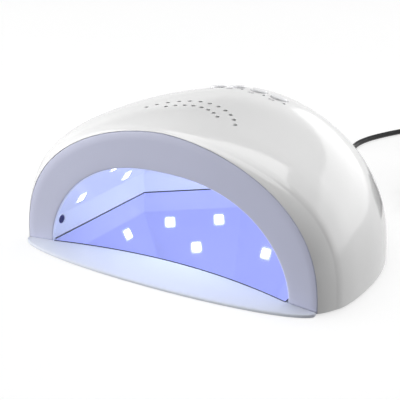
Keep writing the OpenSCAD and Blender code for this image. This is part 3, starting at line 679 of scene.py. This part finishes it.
# ---------------------------------------------------------------- mirror plate
xs = np.linspace(74.2, -74.2, 81)
outline = [np.array([x, edge_y(x) + 0.05]) for x in xs] + [flip(plan_v1(0.4)), flip(plan_v2(0.4)), plan_v2(0.4), plan_v1(0.4)]
outline = np.array(outline)
bm = bmesh.new()
vs = [bm.verts.new(R((x, y, 2.0))) for x, y in outline]
f = bm.faces.new(vs)
ex = bmesh.ops.extrude_face_region(bm, geom=[f])
up = [g for g in ex["geom"] if isinstance(g, bmesh.types.BMVert)]
bmesh.ops.translate(bm, vec=(0, 0, 0.001), verts=up)
bmesh.ops.recalc_face_normals(bm, faces=bm.faces)
rim = [e for e in bm.edges if len(e.link_faces) == 2 and abs(e.calc_face_angle(0)) > 1.0 and abs(e.verts[0].co.z - e.verts[1].co.z) < 1e-6]
bmesh.ops.bevel(bm, geom=rim, offset=0.00025, segments=2, profile=0.5, affect="EDGES")
# every face but the top takes mirror_edge, painted shade for the dark line at the foot of the walls
for f in bm.faces:
    f.material_index = 0 if f.normal.z > 0.9 else 1
mirror = from_bm("mirror_plate_sheet", bm, "tray", "mirror_plate", mats=[M["mirror_steel"], M["mirror_edge"]], sharp=12)
weighted(mirror)

# ---------------------------------------------------------------- base tray with its sill
tq = np.linspace(0, math.pi, 161)
sx_ = 91.9 * np.cos(tq)
back = np.where(np.abs(sx_) > 74.6, -0.3, edge_y(sx_))
front = sill_y(sx_)
top = np.where(np.abs(sx_) > 74.6, 2.5 - 1.6 * (np.abs(sx_) - 74.6) / 17.3, 2.5)
wide = np.clip((back - front) / 6.0, 0.05, 1.0)
edge = 0.15
rows = []


def srow(s, z):
    return np.stack([sx_, front + (back - front) * s, z], -1)


rows.append(srow(0.0, np.full_like(sx_, -0.8)))
rows.append(srow(0.0, np.full_like(sx_, -0.35)))
rows.append(srow(0.0, np.full_like(sx_, 0.1)))
for s in (0.006, 0.02, 0.045, 0.08, 0.13, 0.2, 0.28, 0.37, 0.47, 0.57, 0.67, 0.77, 0.86, 0.93, 0.975):
    z0_ = 0.1 + 0.7 * min(1.0, math.sqrt(s / 0.06))
    rows.append(srow(s, z0_ + (top - 0.8) * math.sin(math.pi / 2 * s)))
rows.append(srow(0.993, top - 0.02))
rows.append(srow(1.0, top - 0.22))
rows.append(srow(1.0, np.full_like(sx_, 1.0)))
rows.append(srow(1.0, np.full_like(sx_, -0.5)))
nr, nc = len(rows), len(sx_)
tv = list(np.concatenate(rows))
tf = []
for i in range(nr):
    k = (i + 1) % nr
    for j in range(nc - 1):
        tf.append((i * nc + j, i * nc + j + 1, k * nc + j + 1, k * nc + j))
tf.append([i * nc for i in range(nr)])
tf.append([i * nc + nc - 1 for i in range(nr)][::-1])
sill = plain_object("sill_raw", R(np.array(tv)), tf)
# plate under the mirror, with its tongue; two round pockets are then cut in the tongue
pl = [np.array([x, edge_y(x) - 1.2]) for x in np.linspace(74.3, -74.3, 61)]
back_pts = [flip(plan_v1(0.3)), flip(plan_v2(0.3)), np.array([-20, plan_v2(0.3)[1]]), np.array([-20, 136.0]), np.array([20, 136.0]), np.array([20, plan_v2(0.3)[1]]), plan_v2(0.3), plan_v1(0.3)]
poly = np.array(pl + back_pts)
bm = bmesh.new()
vs = [bm.verts.new(R((x, y, 1.0))) for x, y in poly]
f = bm.faces.new(vs)
ex = bmesh.ops.extrude_face_region(bm, geom=[f])
bmesh.ops.translate(bm, vec=(0, 0, 0.001), verts=[g for g in ex["geom"] if isinstance(g, bmesh.types.BMVert)])
bmesh.ops.recalc_face_normals(bm, faces=bm.faces)
me = bpy.data.meshes.new("plate_raw")
bm.to_mesh(me)
bm.free()
plate = bpy.data.objects.new("plate_raw", me)
COLL.objects.link(plate)
tray_me = boolean(sill, plate, "base_tray_body", "UNION")
bpy.data.objects.remove(plate)
tray_raw = bpy.data.objects.new("tray_raw", tray_me)
COLL.objects.link(tray_raw)
cv, cf = [], []
for s in (-1, 1):
    lathe_into(cv, cf, [(0, 1.3), (4.1, 1.3), (4.1, 6), (0, 6)], axis_map((12 * s, 132.5, 0), (0, 0, 1)), 48)
cutter = plain_object("cutter2", cv, cf)
tray_me = boolean(tray_raw, cutter, "base_tray_body")
bpy.data.objects.remove(cutter)
bpy.data.objects.remove(tray_raw)
bpy.data.objects.remove(sill)
bm = bmesh.new()
bm.from_mesh(tray_me)
tray = from_bm("base_tray_body", bm, "tray", "base_tray", mats=[M["tray_white"]], sharp=32)

# ---------------------------------------------------------------- LED places
tip = math.atan(LEAN)


def led_frame(p, n, z):
    pos = np.array([p[0] + n[0] * LEAN * (z - WZ), p[1] + n[1] * LEAN * (z - WZ), z])
    N = np.array([n[0], n[1], -LEAN])
    return pos, N / np.linalg.norm(N)


def side_x(y):
    return 75 - SL * (y + 1.5)


def diag_at(s):
    return PD + (plan_v2(0) - PD) * s


leds = [led_frame((side_x(21.4), 21.4), SN, 22), led_frame((side_x(63.7), 63.7), SN, 22), led_frame((side_x(42.5), 42.5), SN, 36),
        led_frame(diag_at(0.25), DN, 22), led_frame(diag_at(0.75), DN, 22), led_frame(diag_at(0.5), DN, 36)]
leds += [(p * [-1, 1, 1], n * [-1, 1, 1]) for p, n in leds]
leds.append(led_frame((0, 124.4), BN, 37))
for row, y in (((-2, -1, 0, 1, 2), 16), ((-1.5, -0.5, 0.5, 1.5), 38), ((-2, -1, 0, 1, 2), 60), ((-1, 0, 1), 82)):
    leds += [(np.array([19.0 * k, y, CZ]), np.array([0, 0, -1.0])) for k in row]


def led_axes(n):
    u = np.array([0, 0, 1.0]) if abs(n[2]) < 0.9 else np.array([0, 1.0, 0])
    x = np.cross(u, n)
    x /= np.linalg.norm(x)
    return x, np.cross(n, x)


# lens: a shallow pillow with rounded corners that stands a little proud of its window
lv, lf = [], []
for pos, n in leds:
    x, y = led_axes(n)
    base = len(lv)
    ring_n = 40
    levels = [(3.35, -1.9), (3.35, -0.02), (3.3, 0.06), (3.15, 0.14), (2.8, 0.21), (2.2, 0.26), (1.2, 0.29)]
    for half, h in levels:
        for k in range(ring_n):
            a = 2 * math.pi * k / ring_n
            c, s = math.cos(a), math.sin(a)
            e = 0.32
            px, py = half * np.sign(c) * abs(c) ** e, half * np.sign(s) * abs(s) ** e
            lv.append(R(pos + x * px + y * py + n * h))
    top_i = len(lv)
    lv.append(R(pos + n * 0.3))
    bot_i = len(lv)
    lv.append(R(pos + n * -1.9))
    for i in range(len(levels) - 1):
        for k in range(ring_n):
            q = (k + 1) % ring_n
            lf.append((base + i * ring_n + k, base + i * ring_n + q, base + (i + 1) * ring_n + q, base + (i + 1) * ring_n + k))
    last = base + (len(levels) - 1) * ring_n
    for k in range(ring_n):
        q = (k + 1) % ring_n
        lf.append((last + k, last + q, top_i))
        lf.append((base + q, base + k, bot_i))
lenses = make("led_lens_set", lv, lf, "housing", "led_lenses", mats=[M["led_glow"], M["led_rim"]], sharp=50)
for k, p in enumerate(lenses.data.polygons):
    p.material_index = 1 if k % 320 < 160 or (k % 320 >= 240 and k % 2) else 0

# ---------------------------------------------------------------- timer buttons: caps that follow the shell's curve
for k, x in enumerate(BTN_X):
    zc = float(surf(x, BTN_Y))
    flange = 64.8 + (5.5 if k in (0, 3) else 8.3)
    bv, bf_, seg = [], [], 72
    rings = []
    def ring(r, zf):
        start = len(bv)
        for q in range(seg):
            a = 2 * math.pi * q / seg
            px, py = x + r * math.cos(a), BTN_Y + r * math.sin(a)
            bv.append(R((px, py, zf(px, py))))
        rings.append(start)
    fl = lambda z: (lambda px, py: z)
    cap = lambda h: (lambda px, py: float(surf(px, py)) + h)
    ring(6.0, fl(flange))
    ring(6.0, fl(flange + 1.0))
    ring(4.8, fl(flange + 1.0))
    ring(4.8, cap(0.35))
    for r, h in ((4.78, 0.62), (4.66, 0.86), (4.42, 1.06), (4.0, 1.2), (3.4, 1.28), (2.6, 1.3), (1.8, 1.29), (0.9, 1.28)):
        ring(r, cap(h))
    top_i = len(bv)
    bv.append(R((x, BTN_Y, zc + 1.28)))
    for a, b in zip(rings, rings[1:]):
        for q in range(seg):
            w = (q + 1) % seg
            bf_.append((a + q, a + w, b + w, b + q))
    for q in range(seg):
        bf_.append((rings[-1] + q, rings[-1] + (q + 1) % seg, top_i))
    # underside with its stem down to the switch
    low = []
    zs = 64.8 + 5.5
    if k in (1, 2):
        for r, z in ((2.2, flange), (2.2, zs)):
            start = len(bv)
            for q in range(seg):
                a = 2 * math.pi * q / seg
                bv.append(R((x + r * math.cos(a), BTN_Y + r * math.sin(a), z)))
            low.append(start)
        prev = rings[0]
        for b in low:
            for q in range(seg):
                w = (q + 1) % seg
                bf_.append((prev + w, prev + q, b + q, b + w))
            prev = b
        bf_.append([prev + q for q in range(seg)][::-1])
    else:
        bf_.append([rings[0] + q for q in range(seg)][::-1])
    make(f"timer_button_{k+1}_cap", bv, bf_, f"button_{k+1}", f"timer_button_{k+1}", mats=[M["button_white"]], sharp=40)

# ---------------------------------------------------------------- reflector liner with chamfered LED windows
FT = 2.2
LT = 1.6
KO = LT * math.sqrt(1 + LEAN * LEAN)


def plan(o, y0):
    a = [plan_side(o, y0), plan_v1(o), plan_v2(o)]
    return a + [flip(p) for p in a[::-1]]


def layer(o, z):
    return [(p[0], p[1], z) for p in plan(o, 2.0)]


layers = [layer(0, 3.35), layer(0, WZ), layer(LEAN * (CZ - WZ), CZ), layer(-LT, FT), layer(-LT, WZ + (KO - LT) / LEAN), layer(LEAN * (CZ + LT - WZ) - KO, CZ + LT)]
bm = bmesh.new()
vs = [bm.verts.new(R(p)) for l in layers for p in l]
fcs = [(6 * l + k, 6 * l + k + 1, 6 * l + k + 7, 6 * l + k + 6) for l in (0, 1) for k in range(5)]
fcs += [(12, 13, 14, 15, 16, 17)]
fcs += [(6 * l + k, 6 * l + k + 6, 6 * l + k + 7, 6 * l + k + 1) for l in (3, 4) for k in range(5)]
fcs += [(35, 34, 33, 32, 31, 30)]
fcs += [(k, k + 18, k + 19, k + 1) for k in range(5)]
fcs += [(0, 6, 24, 18), (6, 12, 30, 24), (12, 17, 35, 30), (17, 11, 29, 35), (11, 5, 23, 29)]
for f in fcs:
    bm.faces.new([vs[i] for i in f])
bmesh.ops.recalc_face_normals(bm, faces=bm.faces)
bm.edges.ensure_lookup_table()


def edge_of(a, b):
    return next(e for e in vs[a].link_edges if e.other_vert(vs[a]) is vs[b])


soft = [edge_of(k, k + 6) for k in (1, 2, 3, 4)] + [edge_of(k + 6, k + 12) for k in (1, 2, 3, 4)] + [edge_of(12 + k, 13 + k) for k in range(5)] + [edge_of(6 + k, 7 + k) for k in range(5)]
for f in bm.faces:
    f.material_index = 1 if all(v in {vs[i] for i in list(range(6)) + list(range(18, 24))} for v in f.verts) else 0
bmesh.ops.bevel(bm, geom=soft, offset=0.0007, segments=4, profile=0.5, affect="EDGES", clamp_overlap=True)
bmesh.ops.recalc_face_normals(bm, faces=bm.faces)
me = bpy.data.meshes.new("liner_raw")
bm.to_mesh(me)
bm.free()
liner_raw = bpy.data.objects.new("liner_raw", me)
COLL.objects.link(liner_raw)
cv, cf = [], []


def square_loops(pos, n, loops, corner=0.55, seg=8):
    x, y = led_axes(n)
    rows = []
    for half, h in loops:
        row = []
        for cx_, cy_, a0 in ((1, 1, 0), (-1, 1, 90), (-1, -1, 180), (1, -1, 270)):
            for i in range(seg):
                a = math.radians(a0 + 90 * i / (seg - 1))
                px = cx_ * (half - corner) + corner * math.cos(a)
                py = cy_ * (half - corner) + corner * math.sin(a)
                row.append(len(cv))
                cv.append(R(pos + x * px + y * py + n * h))
        rows.append(row)
    for a, b in zip(rows, rows[1:]):
        k = len(a)
        for i in range(k):
            cf.append((a[i], a[(i + 1) % k], b[(i + 1) % k], b[i]))
    cf.append(rows[0][::-1])
    cf.append(rows[-1])


for pos, n in leds:
    square_loops(pos, n, [(3.5, -4.5), (3.5, -0.3), (3.62, -0.1), (3.9, 0.06), (4.0, 1.5)])
for s in (-1, 1):
    lathe_into(cv, cf, [(0, -4), (2.6, -4), (2.6, -0.25), (2.85, 0.02), (2.85, 1.2), (0, 1.2)], axis_map((s * side_x(8), 8, 12.5), (-s, -SL, 0)), 40)
cutter = plain_object("cutter3", cv, cf)
liner_me = boolean(liner_raw, cutter, "reflector_liner_skin")
bpy.data.objects.remove(cutter)
bpy.data.objects.remove(liner_raw)
bm = bmesh.new()
bm.from_mesh(liner_me)
for v_ in [v for v in bm.verts if not v.link_faces]:
    bm.verts.remove(v_)
lugs = []
liner = from_bm("reflector_liner_skin", bm, "housing", "reflector_liner", mats=[M["liner_white"], M["shadow_gap"]], sharp=34)
weighted(liner)
# the liner's screw lugs are their own short blocks joined to its outside
lv, lf = [], []
for s in (-1, 1):
    for cx_, cy_, hx, hy_ in ((79.2, 61.0, 3.2, 4.0),):
        base = len(lv)
        loops = [(0.0, FT), (0.0, FT + 1.7), (-0.3, FT + 2.0)]
        for o, z in loops:
            for px, py in ((-hx, -hy_), (hx, -hy_), (hx, hy_), (-hx, hy_)):
                lv.append(R((s * (cx_ + px + np.sign(-px) * -o * (px > 0)), cy_ + py + (o if py > 0 else -o), z)))
        for a in range(2):
            for k in range(4):
                q = (k + 1) % 4
                lf.append((base + 4 * a + k, base + 4 * a + q, base + 4 * a + 4 + q, base + 4 * a + 4 + k))
        lf.append((base, base + 1, base + 2, base + 3))
        lf.append((base + 8, base + 9, base + 10, base + 11))
    lathe_into(lv, lf, [(0, 0), (4.55, 0), (4.55, 1.7), (4.25, 2.0), (0, 2.0)], axis_map((s * 34.4, 122.6, FT), (0, 0, 1)), 40)
make("reflector_liner_lugs", lv, lf, "housing", None or (), mats=[M["liner_white"]], sharp=30)

# ---------------------------------------------------------------- proximity sensor windows in the side walls
for s, node in ((-1, "ir_emitter"), (1, "ir_receiver")):
    v, f = [], []
    lathe_into(v, f, [(0, -6.05), (3.0, -6.05), (3.0, -4.6), (2.5, -4.5), (2.5, -0.45), (2.42, -0.25), (2.1, -0.14), (1.4, -0.11), (0, -0.1)], axis_map((s * side_x(8), 8, 12.5), (-s, 0, 0)), 48)
    make(node + "_window", v, f, "housing", node, mats=[M["ir_dark"]], sharp=40)

# ---------------------------------------------------------------- indicator light pipes, domed and almost flush
v, f = [], []
for x, y in PIPES:
    z = float(surf(x, y))
    lathe_into(v, f, [(0, 64.9), (0.9, 64.9), (0.9, z - 0.25), (0.8, z - 0.02), (0.5, z + 0.12), (0, z + 0.17)], axis_map((x, y, 0), (0, 0, 1)), 24)
make("indicator_light_pipe_set", v, f, "housing", "indicator_light_pipes", mats=[M["light_pipe"]], sharp=50)

# ---------------------------------------------------------------- rubber feet with a rolled edge and a dished sole
v, f = [], []
for x, y in ((84.5, 16), (46, 122), (-84.5, 16), (-46, 122)):
    lathe_into(v, f, [(0, -0.75), (3.0, -0.78), (3.6, -1.0), (4.4, -1.0), (4.75, -0.9), (4.95, -0.65), (5.0, -0.35), (5.0, 0.5), (0, 0.5)], axis_map((x, y, 0), (0, 0, 1)), 48)
make("rubber_foot_set", v, f, "housing", "rubber_feet", mats=[M["foot_rubber"]], sharp=40)

# ---------------------------------------------------------------- printed times beside the buttons (plain numbers)
label_v, label_f = [], []
for x, txt in zip(BTN_X, ("10", "30", "60", "99")):
    cu = bpy.data.curves.new("label", "FONT")
    cu.body = txt
    cu.size = 3.3
    cu.align_x = "CENTER"
    cu.extrude = 0.03
    cu.resolution_u = 4
    ob = bpy.data.objects.new("label", cu)
    COLL.objects.link(ob)
    bpy.context.view_layer.update()
    me = bpy.data.meshes.new_from_object(ob.evaluated_get(bpy.context.evaluated_depsgraph_get()))
    base = len(label_v)
    for q in me.vertices:
        px, py = x + q.co.x * 1.15, 77.4 + q.co.y
        label_v.append(R((px, py, float(surf(px, py)) + q.co.z + 0.02)))
    for p in me.polygons:
        label_f.append([base + i for i in p.vertices])
    bpy.data.objects.remove(ob)
    bpy.data.meshes.remove(me)
make("button_time_numbers", label_v, label_f, "housing", mats=[M["print_grey"]], sharp=30)

# ---------------------------------------------------------------- power lead
CR = 1.75
FLOOR = -1.0
ROUTE = [[0, 201.3, 13], [0, 206.3, 12.7], [0, 211.8, 10.6], [0, 218.3, 6.6], [-0.3, 224.8, 2.9], [-0.8, 231.3, 1], [-1.5, 238, 0.75], [-1.2, 243, 0.75],
         [-0.2, 248.5, 0.75], [1.4, 254, 0.75], [3.8, 260, 0.75], [6.6, 266, 0.75], [10, 272.5, 0.75], [14, 279, 0.75], [19, 285.3, 0.75], [25.8, 291, 0.75],
         [34, 294.8, 0.75], [44, 296.2, 0.75], [54.75, 295.25, 0.75]]
COIL = (54.75, 270.0)
PITCH, R_OUT, R_IN = 3.5, 25.25, 14.75
Z1, Z2 = 0.75, 4.25


def coil_point(t):
    """t counts turns, clockwise, from the top of the coil."""
    if t < 3:
        r, z = R_OUT - PITCH * t, Z1
    elif t < 4:
        g = t - 3
        r, z = R_IN, Z1 + (Z2 - Z1) * math.sqrt(max(0.0, 2 * g - g * g))
    elif t < 7:
        r, z = R_IN + PITCH * (t - 4), Z2
    else:
        r, z = R_OUT, Z2
    a = math.radians(90) - 2 * math.pi * t
    return [COIL[0] + r * math.cos(a), COIL[1] + r * math.sin(a), z]


def catmull(pts, s):
    pts = [np.array(p, float) for p in pts]
    out = []
    for i in range(len(pts) - 1):
        p0 = pts[i - 1] if i else 2 * pts[0] - pts[1]
        p1, p2 = pts[i], pts[i + 1]
        p3 = pts[i + 2] if i + 2 < len(pts) else 2 * pts[-1] - pts[-2]
        for k in range(s):
            t = k / s
            out.append(0.5 * ((2 * p1) + (-p0 + p2) * t + (2 * p0 - 5 * p1 + 4 * p2 - p3) * t * t + (-p0 + 3 * p1 - 3 * p2 + p3) * t**3))
    out.append(pts[-1])
    return out


line = catmull(ROUTE, 4)
TURNS = 7.25
NCOIL = 290
line += [np.array(coil_point(TURNS * k / NCOIL)) for k in range(1, NCOIL + 1)]
line += [np.array([80.0, y, Z2]) for y in (266, 261, 256, 252, 248)]
line = np.array(line)
cu = bpy.data.curves.new("power_lead_cord", "CURVE")
cu.dimensions = "3D"
sp = cu.splines.new("POLY")
sp.points.add(len(line) - 1)
for k, p in enumerate(line):
    sp.points[k].co = (*R(p), 1.0)
cu.bevel_depth = CR * 0.001
cu.bevel_resolution = 5
cu.use_fill_caps = True
cu.materials.append(M["cord_black"])
lead = bpy.data.objects.new("power_lead_cord", cu)
COLL.objects.link(lead)
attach(lead, "power_lead")
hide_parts("dc_cord", "cord_coil", "dc_cord_tail")

PLUG_Y = 161.3


def ribbed(r0, r1, length, grooves, start, pitch, depth=0.35):
    """Strain relief profile with ring grooves; the envelope tapers from r0 to r1."""
    pts = [(0, 0), (r0 - 0.15, 0), (r0, 0.15)]
    env = lambda h: r0 + (r1 - r0) * h / length
    for k in range(grooves):
        h = start + pitch * k
        pts += [(env(h), h), (env(h) - depth, h + 0.18), (env(h) - depth, h + 0.75), (env(h), h + 0.95)]
    pts += [(env(length - 0.25), length - 0.25), (r1 - 0.25, length), (0, length)]
    return pts


v, f = [], []
lathe_into(v, f, [(0, 0.5), (1.08, 0.5), (1.08, -9.6), (1.3, -9.95), (2.35, -10), (2.6, -9.9), (2.75, -9.55), (2.75, -6.1), (2.68, -6.0), (2.68, -5.7), (2.75, -5.6), (2.75, 3.0), (0, 3.0)], axis_map((0, PLUG_Y, JACK_Z), (0, 1, 0)), 56)
barrel = make("plug_barrel_sleeve", v, f, "power_lead", "plug_barrel", mats=[M["plug_nickel"]], sharp=35)
v, f = [], []
prof = [(0, 0.02), (4.2, 0.02), (4.7, 0.25), (4.95, 0.8), (5.0, 1.5)]
for k in range(5):
    h = 3.0 + 2.1 * k
    prof += [(5.0, h), (4.72, h + 0.25), (4.72, h + 0.75), (5.0, h + 1.0)]
prof += [(5.0, 13.8), (4.92, 15.6), (4.7, 17.2), (4.3, 18.8), (3.7, 19.7), (3.3, 20.0), (0, 20.0)]
lathe_into(v, f, prof, axis_map((0, PLUG_Y, JACK_Z), (0, 1, 0)), 64)
grip = make("plug_grip_moulding", v, f, "power_lead", "plug_grip", mats=[M["cord_black"]], sharp=40)
v, f = [], []
lathe_into(v, f, ribbed(3.35, 2.4, 20, 7, 3.0, 2.3), axis_map((0, PLUG_Y + 20, JACK_Z), (0, 1, 0)), 48)
relief = make("plug_strain_relief_sleeve", v, f, "power_lead", "plug_strain_relief", mats=[M["cord_black"]], sharp=40)
AX, AY, AL, AW, AH = 80.0, 172.0, 64.0, 36.0, 28.0
v, f = [], []
lathe_into(v, f, ribbed(3.35, 2.3, 12, 4, 2.4, 2.1), axis_map((AX, AY + AL, Z2), (0, 1, 0)), 48)
relief2 = make("adapter_strain_relief_sleeve", v, f, "power_lead", "adapter_strain_relief", mats=[M["cord_black"]], sharp=40)


def block(name, node, profile, cap0, cap1):
    """Rounded-rectangle section swept along y; profile is a list of (y, inset)."""
    v, f, rows = [], [], []
    seg = 9
    cx_, cz_ = AX, FLOOR + AH / 2
    for y, o in profile:
        row = []
        rr = max(0.4, 3.0 - o)
        for sx__, sz__, a0 in ((1, 1, 0), (-1, 1, 90), (-1, -1, 180), (1, -1, 270)):
            for i in range(seg):
                a = math.radians(a0 + 90 * i / (seg - 1))
                row.append(len(v))
                v.append(R((cx_ + sx__ * (AW / 2 - o - rr) + rr * math.cos(a), y, cz_ + sz__ * (AH / 2 - o - rr) + rr * math.sin(a))))
        rows.append(row)
    for a, b in zip(rows, rows[1:]):
        k = len(a)
        for i in range(k):
            f.append((a[i], a[(i + 1) % k], b[(i + 1) % k], b[i]))
    f.append(rows[0][::-1])
    f.append(rows[-1])
    return make(name, v, f, "power_lead", node, mats=[M["adapter_black"]], sharp=35)


def cap_in(y, d, r=1.6, n=6):
    return [(y + d * (r - r * math.sin(math.pi / 2 * i / n)), r - r * math.cos(math.pi / 2 * i / n)) for i in range(n + 1)]


front_p = [(y, o) for y, o in cap_in(AY, 1)][::-1] + [(AY + 12, 0.0), (AY + 23.6, 0.0), (AY + 23.85, 0.12), (AY + 23.95, 0.45)]
back_p = [(AY + 24.15, 0.45), (AY + 24.25, 0.12), (AY + 24.5, 0.0), (AY + 40, 0.0)] + [(y, o) for y, o in cap_in(AY + AL, -1)]
case_a = block("adapter_case_front_moulding", "adapter_case_front", front_p, True, True)
case_b = block("adapter_case_back_moulding", "adapter_case_back", back_p, True, True)
v, f = [], []
for s in (-1, 1):
    lathe_into(v, f, [(0, 0.05), (1.2, 0.1), (1.7, 0.4), (1.93, 0.9), (2.0, 1.6), (2.0, 19.0), (1.6, 19.0), (1.6, 22), (0, 22)], axis_map((AX + 9.3 * s, AY - 19, FLOOR + AH / 2), (0, 1, 0)), 40)
pins = make("adapter_pin_pair", v, f, "power_lead", "adapter_pins", mats=[M["plug_nickel"]], sharp=40)
# the twist band that holds the coil: a thin strap bent round the section of the turns
v, f, rows = [], [], []
loop = []
hx0, hx1, hz0, hz1, rr = 13 - 0.9, 27 + 0.35, FLOOR + 0.25, FLOOR + 7.35, 2.0
for sx__, sz__, a0 in ((1, 1, 0), (-1, 1, 90), (-1, -1, 180), (1, -1, 270)):
    for i in range(10):
        a = math.radians(a0 + 10 * i)
        loop.append(((hx0 + hx1) / 2 + sx__ * ((hx1 - hx0) / 2 - rr) + rr * math.cos(a), (hz0 + hz1) / 2 + sz__ * ((hz1 - hz0) / 2 - rr) + rr * math.sin(a)))
loop = np.array(loop)
ctr = loop.mean(0)
nl = loop - np.array([np.clip(loop[:, 0], hx0 + rr, hx1 - rr), np.clip(loop[:, 1], hz0 + rr, hz1 - rr)]).T
nl /= np.linalg.norm(nl, axis=1)[:, None]
ta = math.radians(200)
er_, et_ = np.array([math.cos(ta), math.sin(ta)]), np.array([-math.sin(ta), math.cos(ta)])
sec = [(0.0, -3.0), (0.28, -3.3), (0.3, 0.0), (0.28, 3.3), (0.0, 3.0), (-0.28, 3.3), (-0.22, 0.0), (-0.28, -3.3)]
for p, n in zip(loop, nl):
    row = []
    for d, w in sec:
        q = p + n * d
        xy = er_ * q[0] + et_ * w
        row.append(len(v))
        v.append(R((COIL[0] + xy[0], COIL[1] + xy[1], q[1])))
    rows.append(row)
for a, b in zip(rows, rows[1:] + rows[:1]):
    for i in range(len(sec)):
        f.append((a[i], a[(i + 1) % len(sec)], b[(i + 1) % len(sec)], b[i]))
tie = make("cord_tie_band", v, f, "power_lead", "cord_tie", mats=[M["component_black"]], sharp=40)

# ---------------------------------------------------------------- better materials on the CAD nodes that stay
SLOT = {s["node"]: s["material_slot"] for s in frame["record"]["subparts"]}
for name, ob in NODES.items():
    if ob.type != "MESH":
        continue
    mat = M.get(SLOT.get(name, ""))
    if mat is None:
        continue
    ob.data.materials.clear()
    ob.data.materials.append(mat)
    for p in ob.data.polygons:
        p.material_index = 0

# ---------------------------------------------------------------- floor and light
me = bpy.data.meshes.new("floor")
me.from_pydata([(-6, -6, 0), (6, -6, 0), (6, 6, 0), (-6, 6, 0)], [], [(0, 1, 2, 3)])
floor = bpy.data.objects.new("floor", me)
COLL.objects.link(floor)
floor.data.materials.append(material("floor", (0.36, 0.36, 0.36), 0.6, vary=0.004, vary_scale=2, rough_vary=0.02, specular=0.2, emit=(1, 1, 1, 1), emit_strength=0.66))
floor.visible_diffuse = False
floor.visible_glossy = False


def area(name, loc, target, size, size_y, power, color=(1, 1, 1), shape="RECTANGLE", spread=180, glossy=True, cam_vis=False):
    ld = bpy.data.lights.new(name, "AREA")
    ld.shape = shape
    ld.size, ld.size_y = size, size_y
    ld.energy = power
    ld.color = color
    ld.spread = math.radians(spread)
    ob = bpy.data.objects.new(name, ld)
    ob.location = loc
    ob.rotation_mode = "QUATERNION"
    ob.rotation_quaternion = (Vector(target) - Vector(loc)).to_track_quat("-Z", "Y")
    ob.visible_camera = cam_vis
    ob.visible_glossy = glossy
    COLL.objects.link(ob)
    return ob


world = bpy.data.worlds.new("studio")
SCENE.world = world
world.use_nodes = True
wt = world.node_tree
bg = wt.nodes["Background"]
wc = wt.nodes.new("ShaderNodeTexCoord")
ws = wt.nodes.new("ShaderNodeSeparateXYZ")
wt.links.new(wc.outputs["Generated"], ws.inputs[0])


def world_math(op, a, b, c=None, clamp=False):
    n = wt.nodes.new("ShaderNodeMath")
    n.operation, n.use_clamp = op, clamp
    for k, v in enumerate((a, b) if c is None else (a, b, c)):
        if isinstance(v, (int, float)):
            n.inputs[k].default_value = v
        else:
            wt.links.new(v, n.inputs[k])
    return n.outputs[0]


def world_step(v, lo, hi):
    n = wt.nodes.new("ShaderNodeMapRange")
    n.interpolation_type = "SMOOTHSTEP"
    wt.links.new(v, n.inputs["Value"])
    n.inputs["From Min"].default_value, n.inputs["From Max"].default_value = lo, hi
    return n.outputs[0]


# a pale sweep behind the lamp, a darker room above it, and the floor's reflection below the horizon
behind = world_step(ws.outputs[1], -0.35, 0.35)
low = world_math("SUBTRACT", 1.0, world_step(ws.outputs[2], 0.16, 0.42))
up = world_math("MULTIPLY_ADD", world_math("MULTIPLY", behind, low), 0.62, 0.12)
lp = wt.nodes.new("ShaderNodeLightPath")
down = world_math("MULTIPLY_ADD", lp.outputs["Is Glossy Ray"], 0.62, 0.22)
is_up = world_step(ws.outputs[2], -0.02, 0.0)
level = world_math("ADD", world_math("MULTIPLY", is_up, up), world_math("MULTIPLY", world_math("SUBTRACT", 1.0, is_up), down))
seen = world_math("MULTIPLY", world_math("SUBTRACT", 0.96, level), lp.outputs["Is Camera Ray"])
wt.links.new(world_math("ADD", level, seen), bg.inputs[1])
bg.inputs[0].default_value = (1.0, 1.0, 1.0, 1)
area("top", (-0.05, 0.1, 1.4), (0, 0, 0), 1.6, 1.3, 16)
pn = math.radians(59)
pd, ps = Vector((math.sin(pn), math.cos(pn), 0)), Vector((math.cos(pn), -math.sin(pn), 0))
panel_at = pd * 1.2 + ps * -2.2
area("sweep_right", (panel_at.x, panel_at.y, 0.4425), (panel_at.x - pd.x, panel_at.y - pd.y, 0.4425), 5.8, 0.885, 15)
area("left", (-1.2, -0.2, 0.6), (0, 0, 0.04), 0.6, 0.8, 2)
area("front_left", (-1.1, -0.95, 0.12), (0, 0, 0.04), 0.9, 0.4, 18.6)
area("right_rear", (1.25, 0.95, 0.18), (0, 0, 0.04), 1.0, 0.34, 4.2, glossy=False)
area("cavity", tuple(R((0, 48, 56.5))), tuple(R((0, 48, 0))), 0.07, 0.06, 0.03, color=(0.76, 0.84, 1.0), glossy=False, spread=120)
SCENE.view_settings.view_transform = "Standard"
SCENE.view_settings.look = "None"
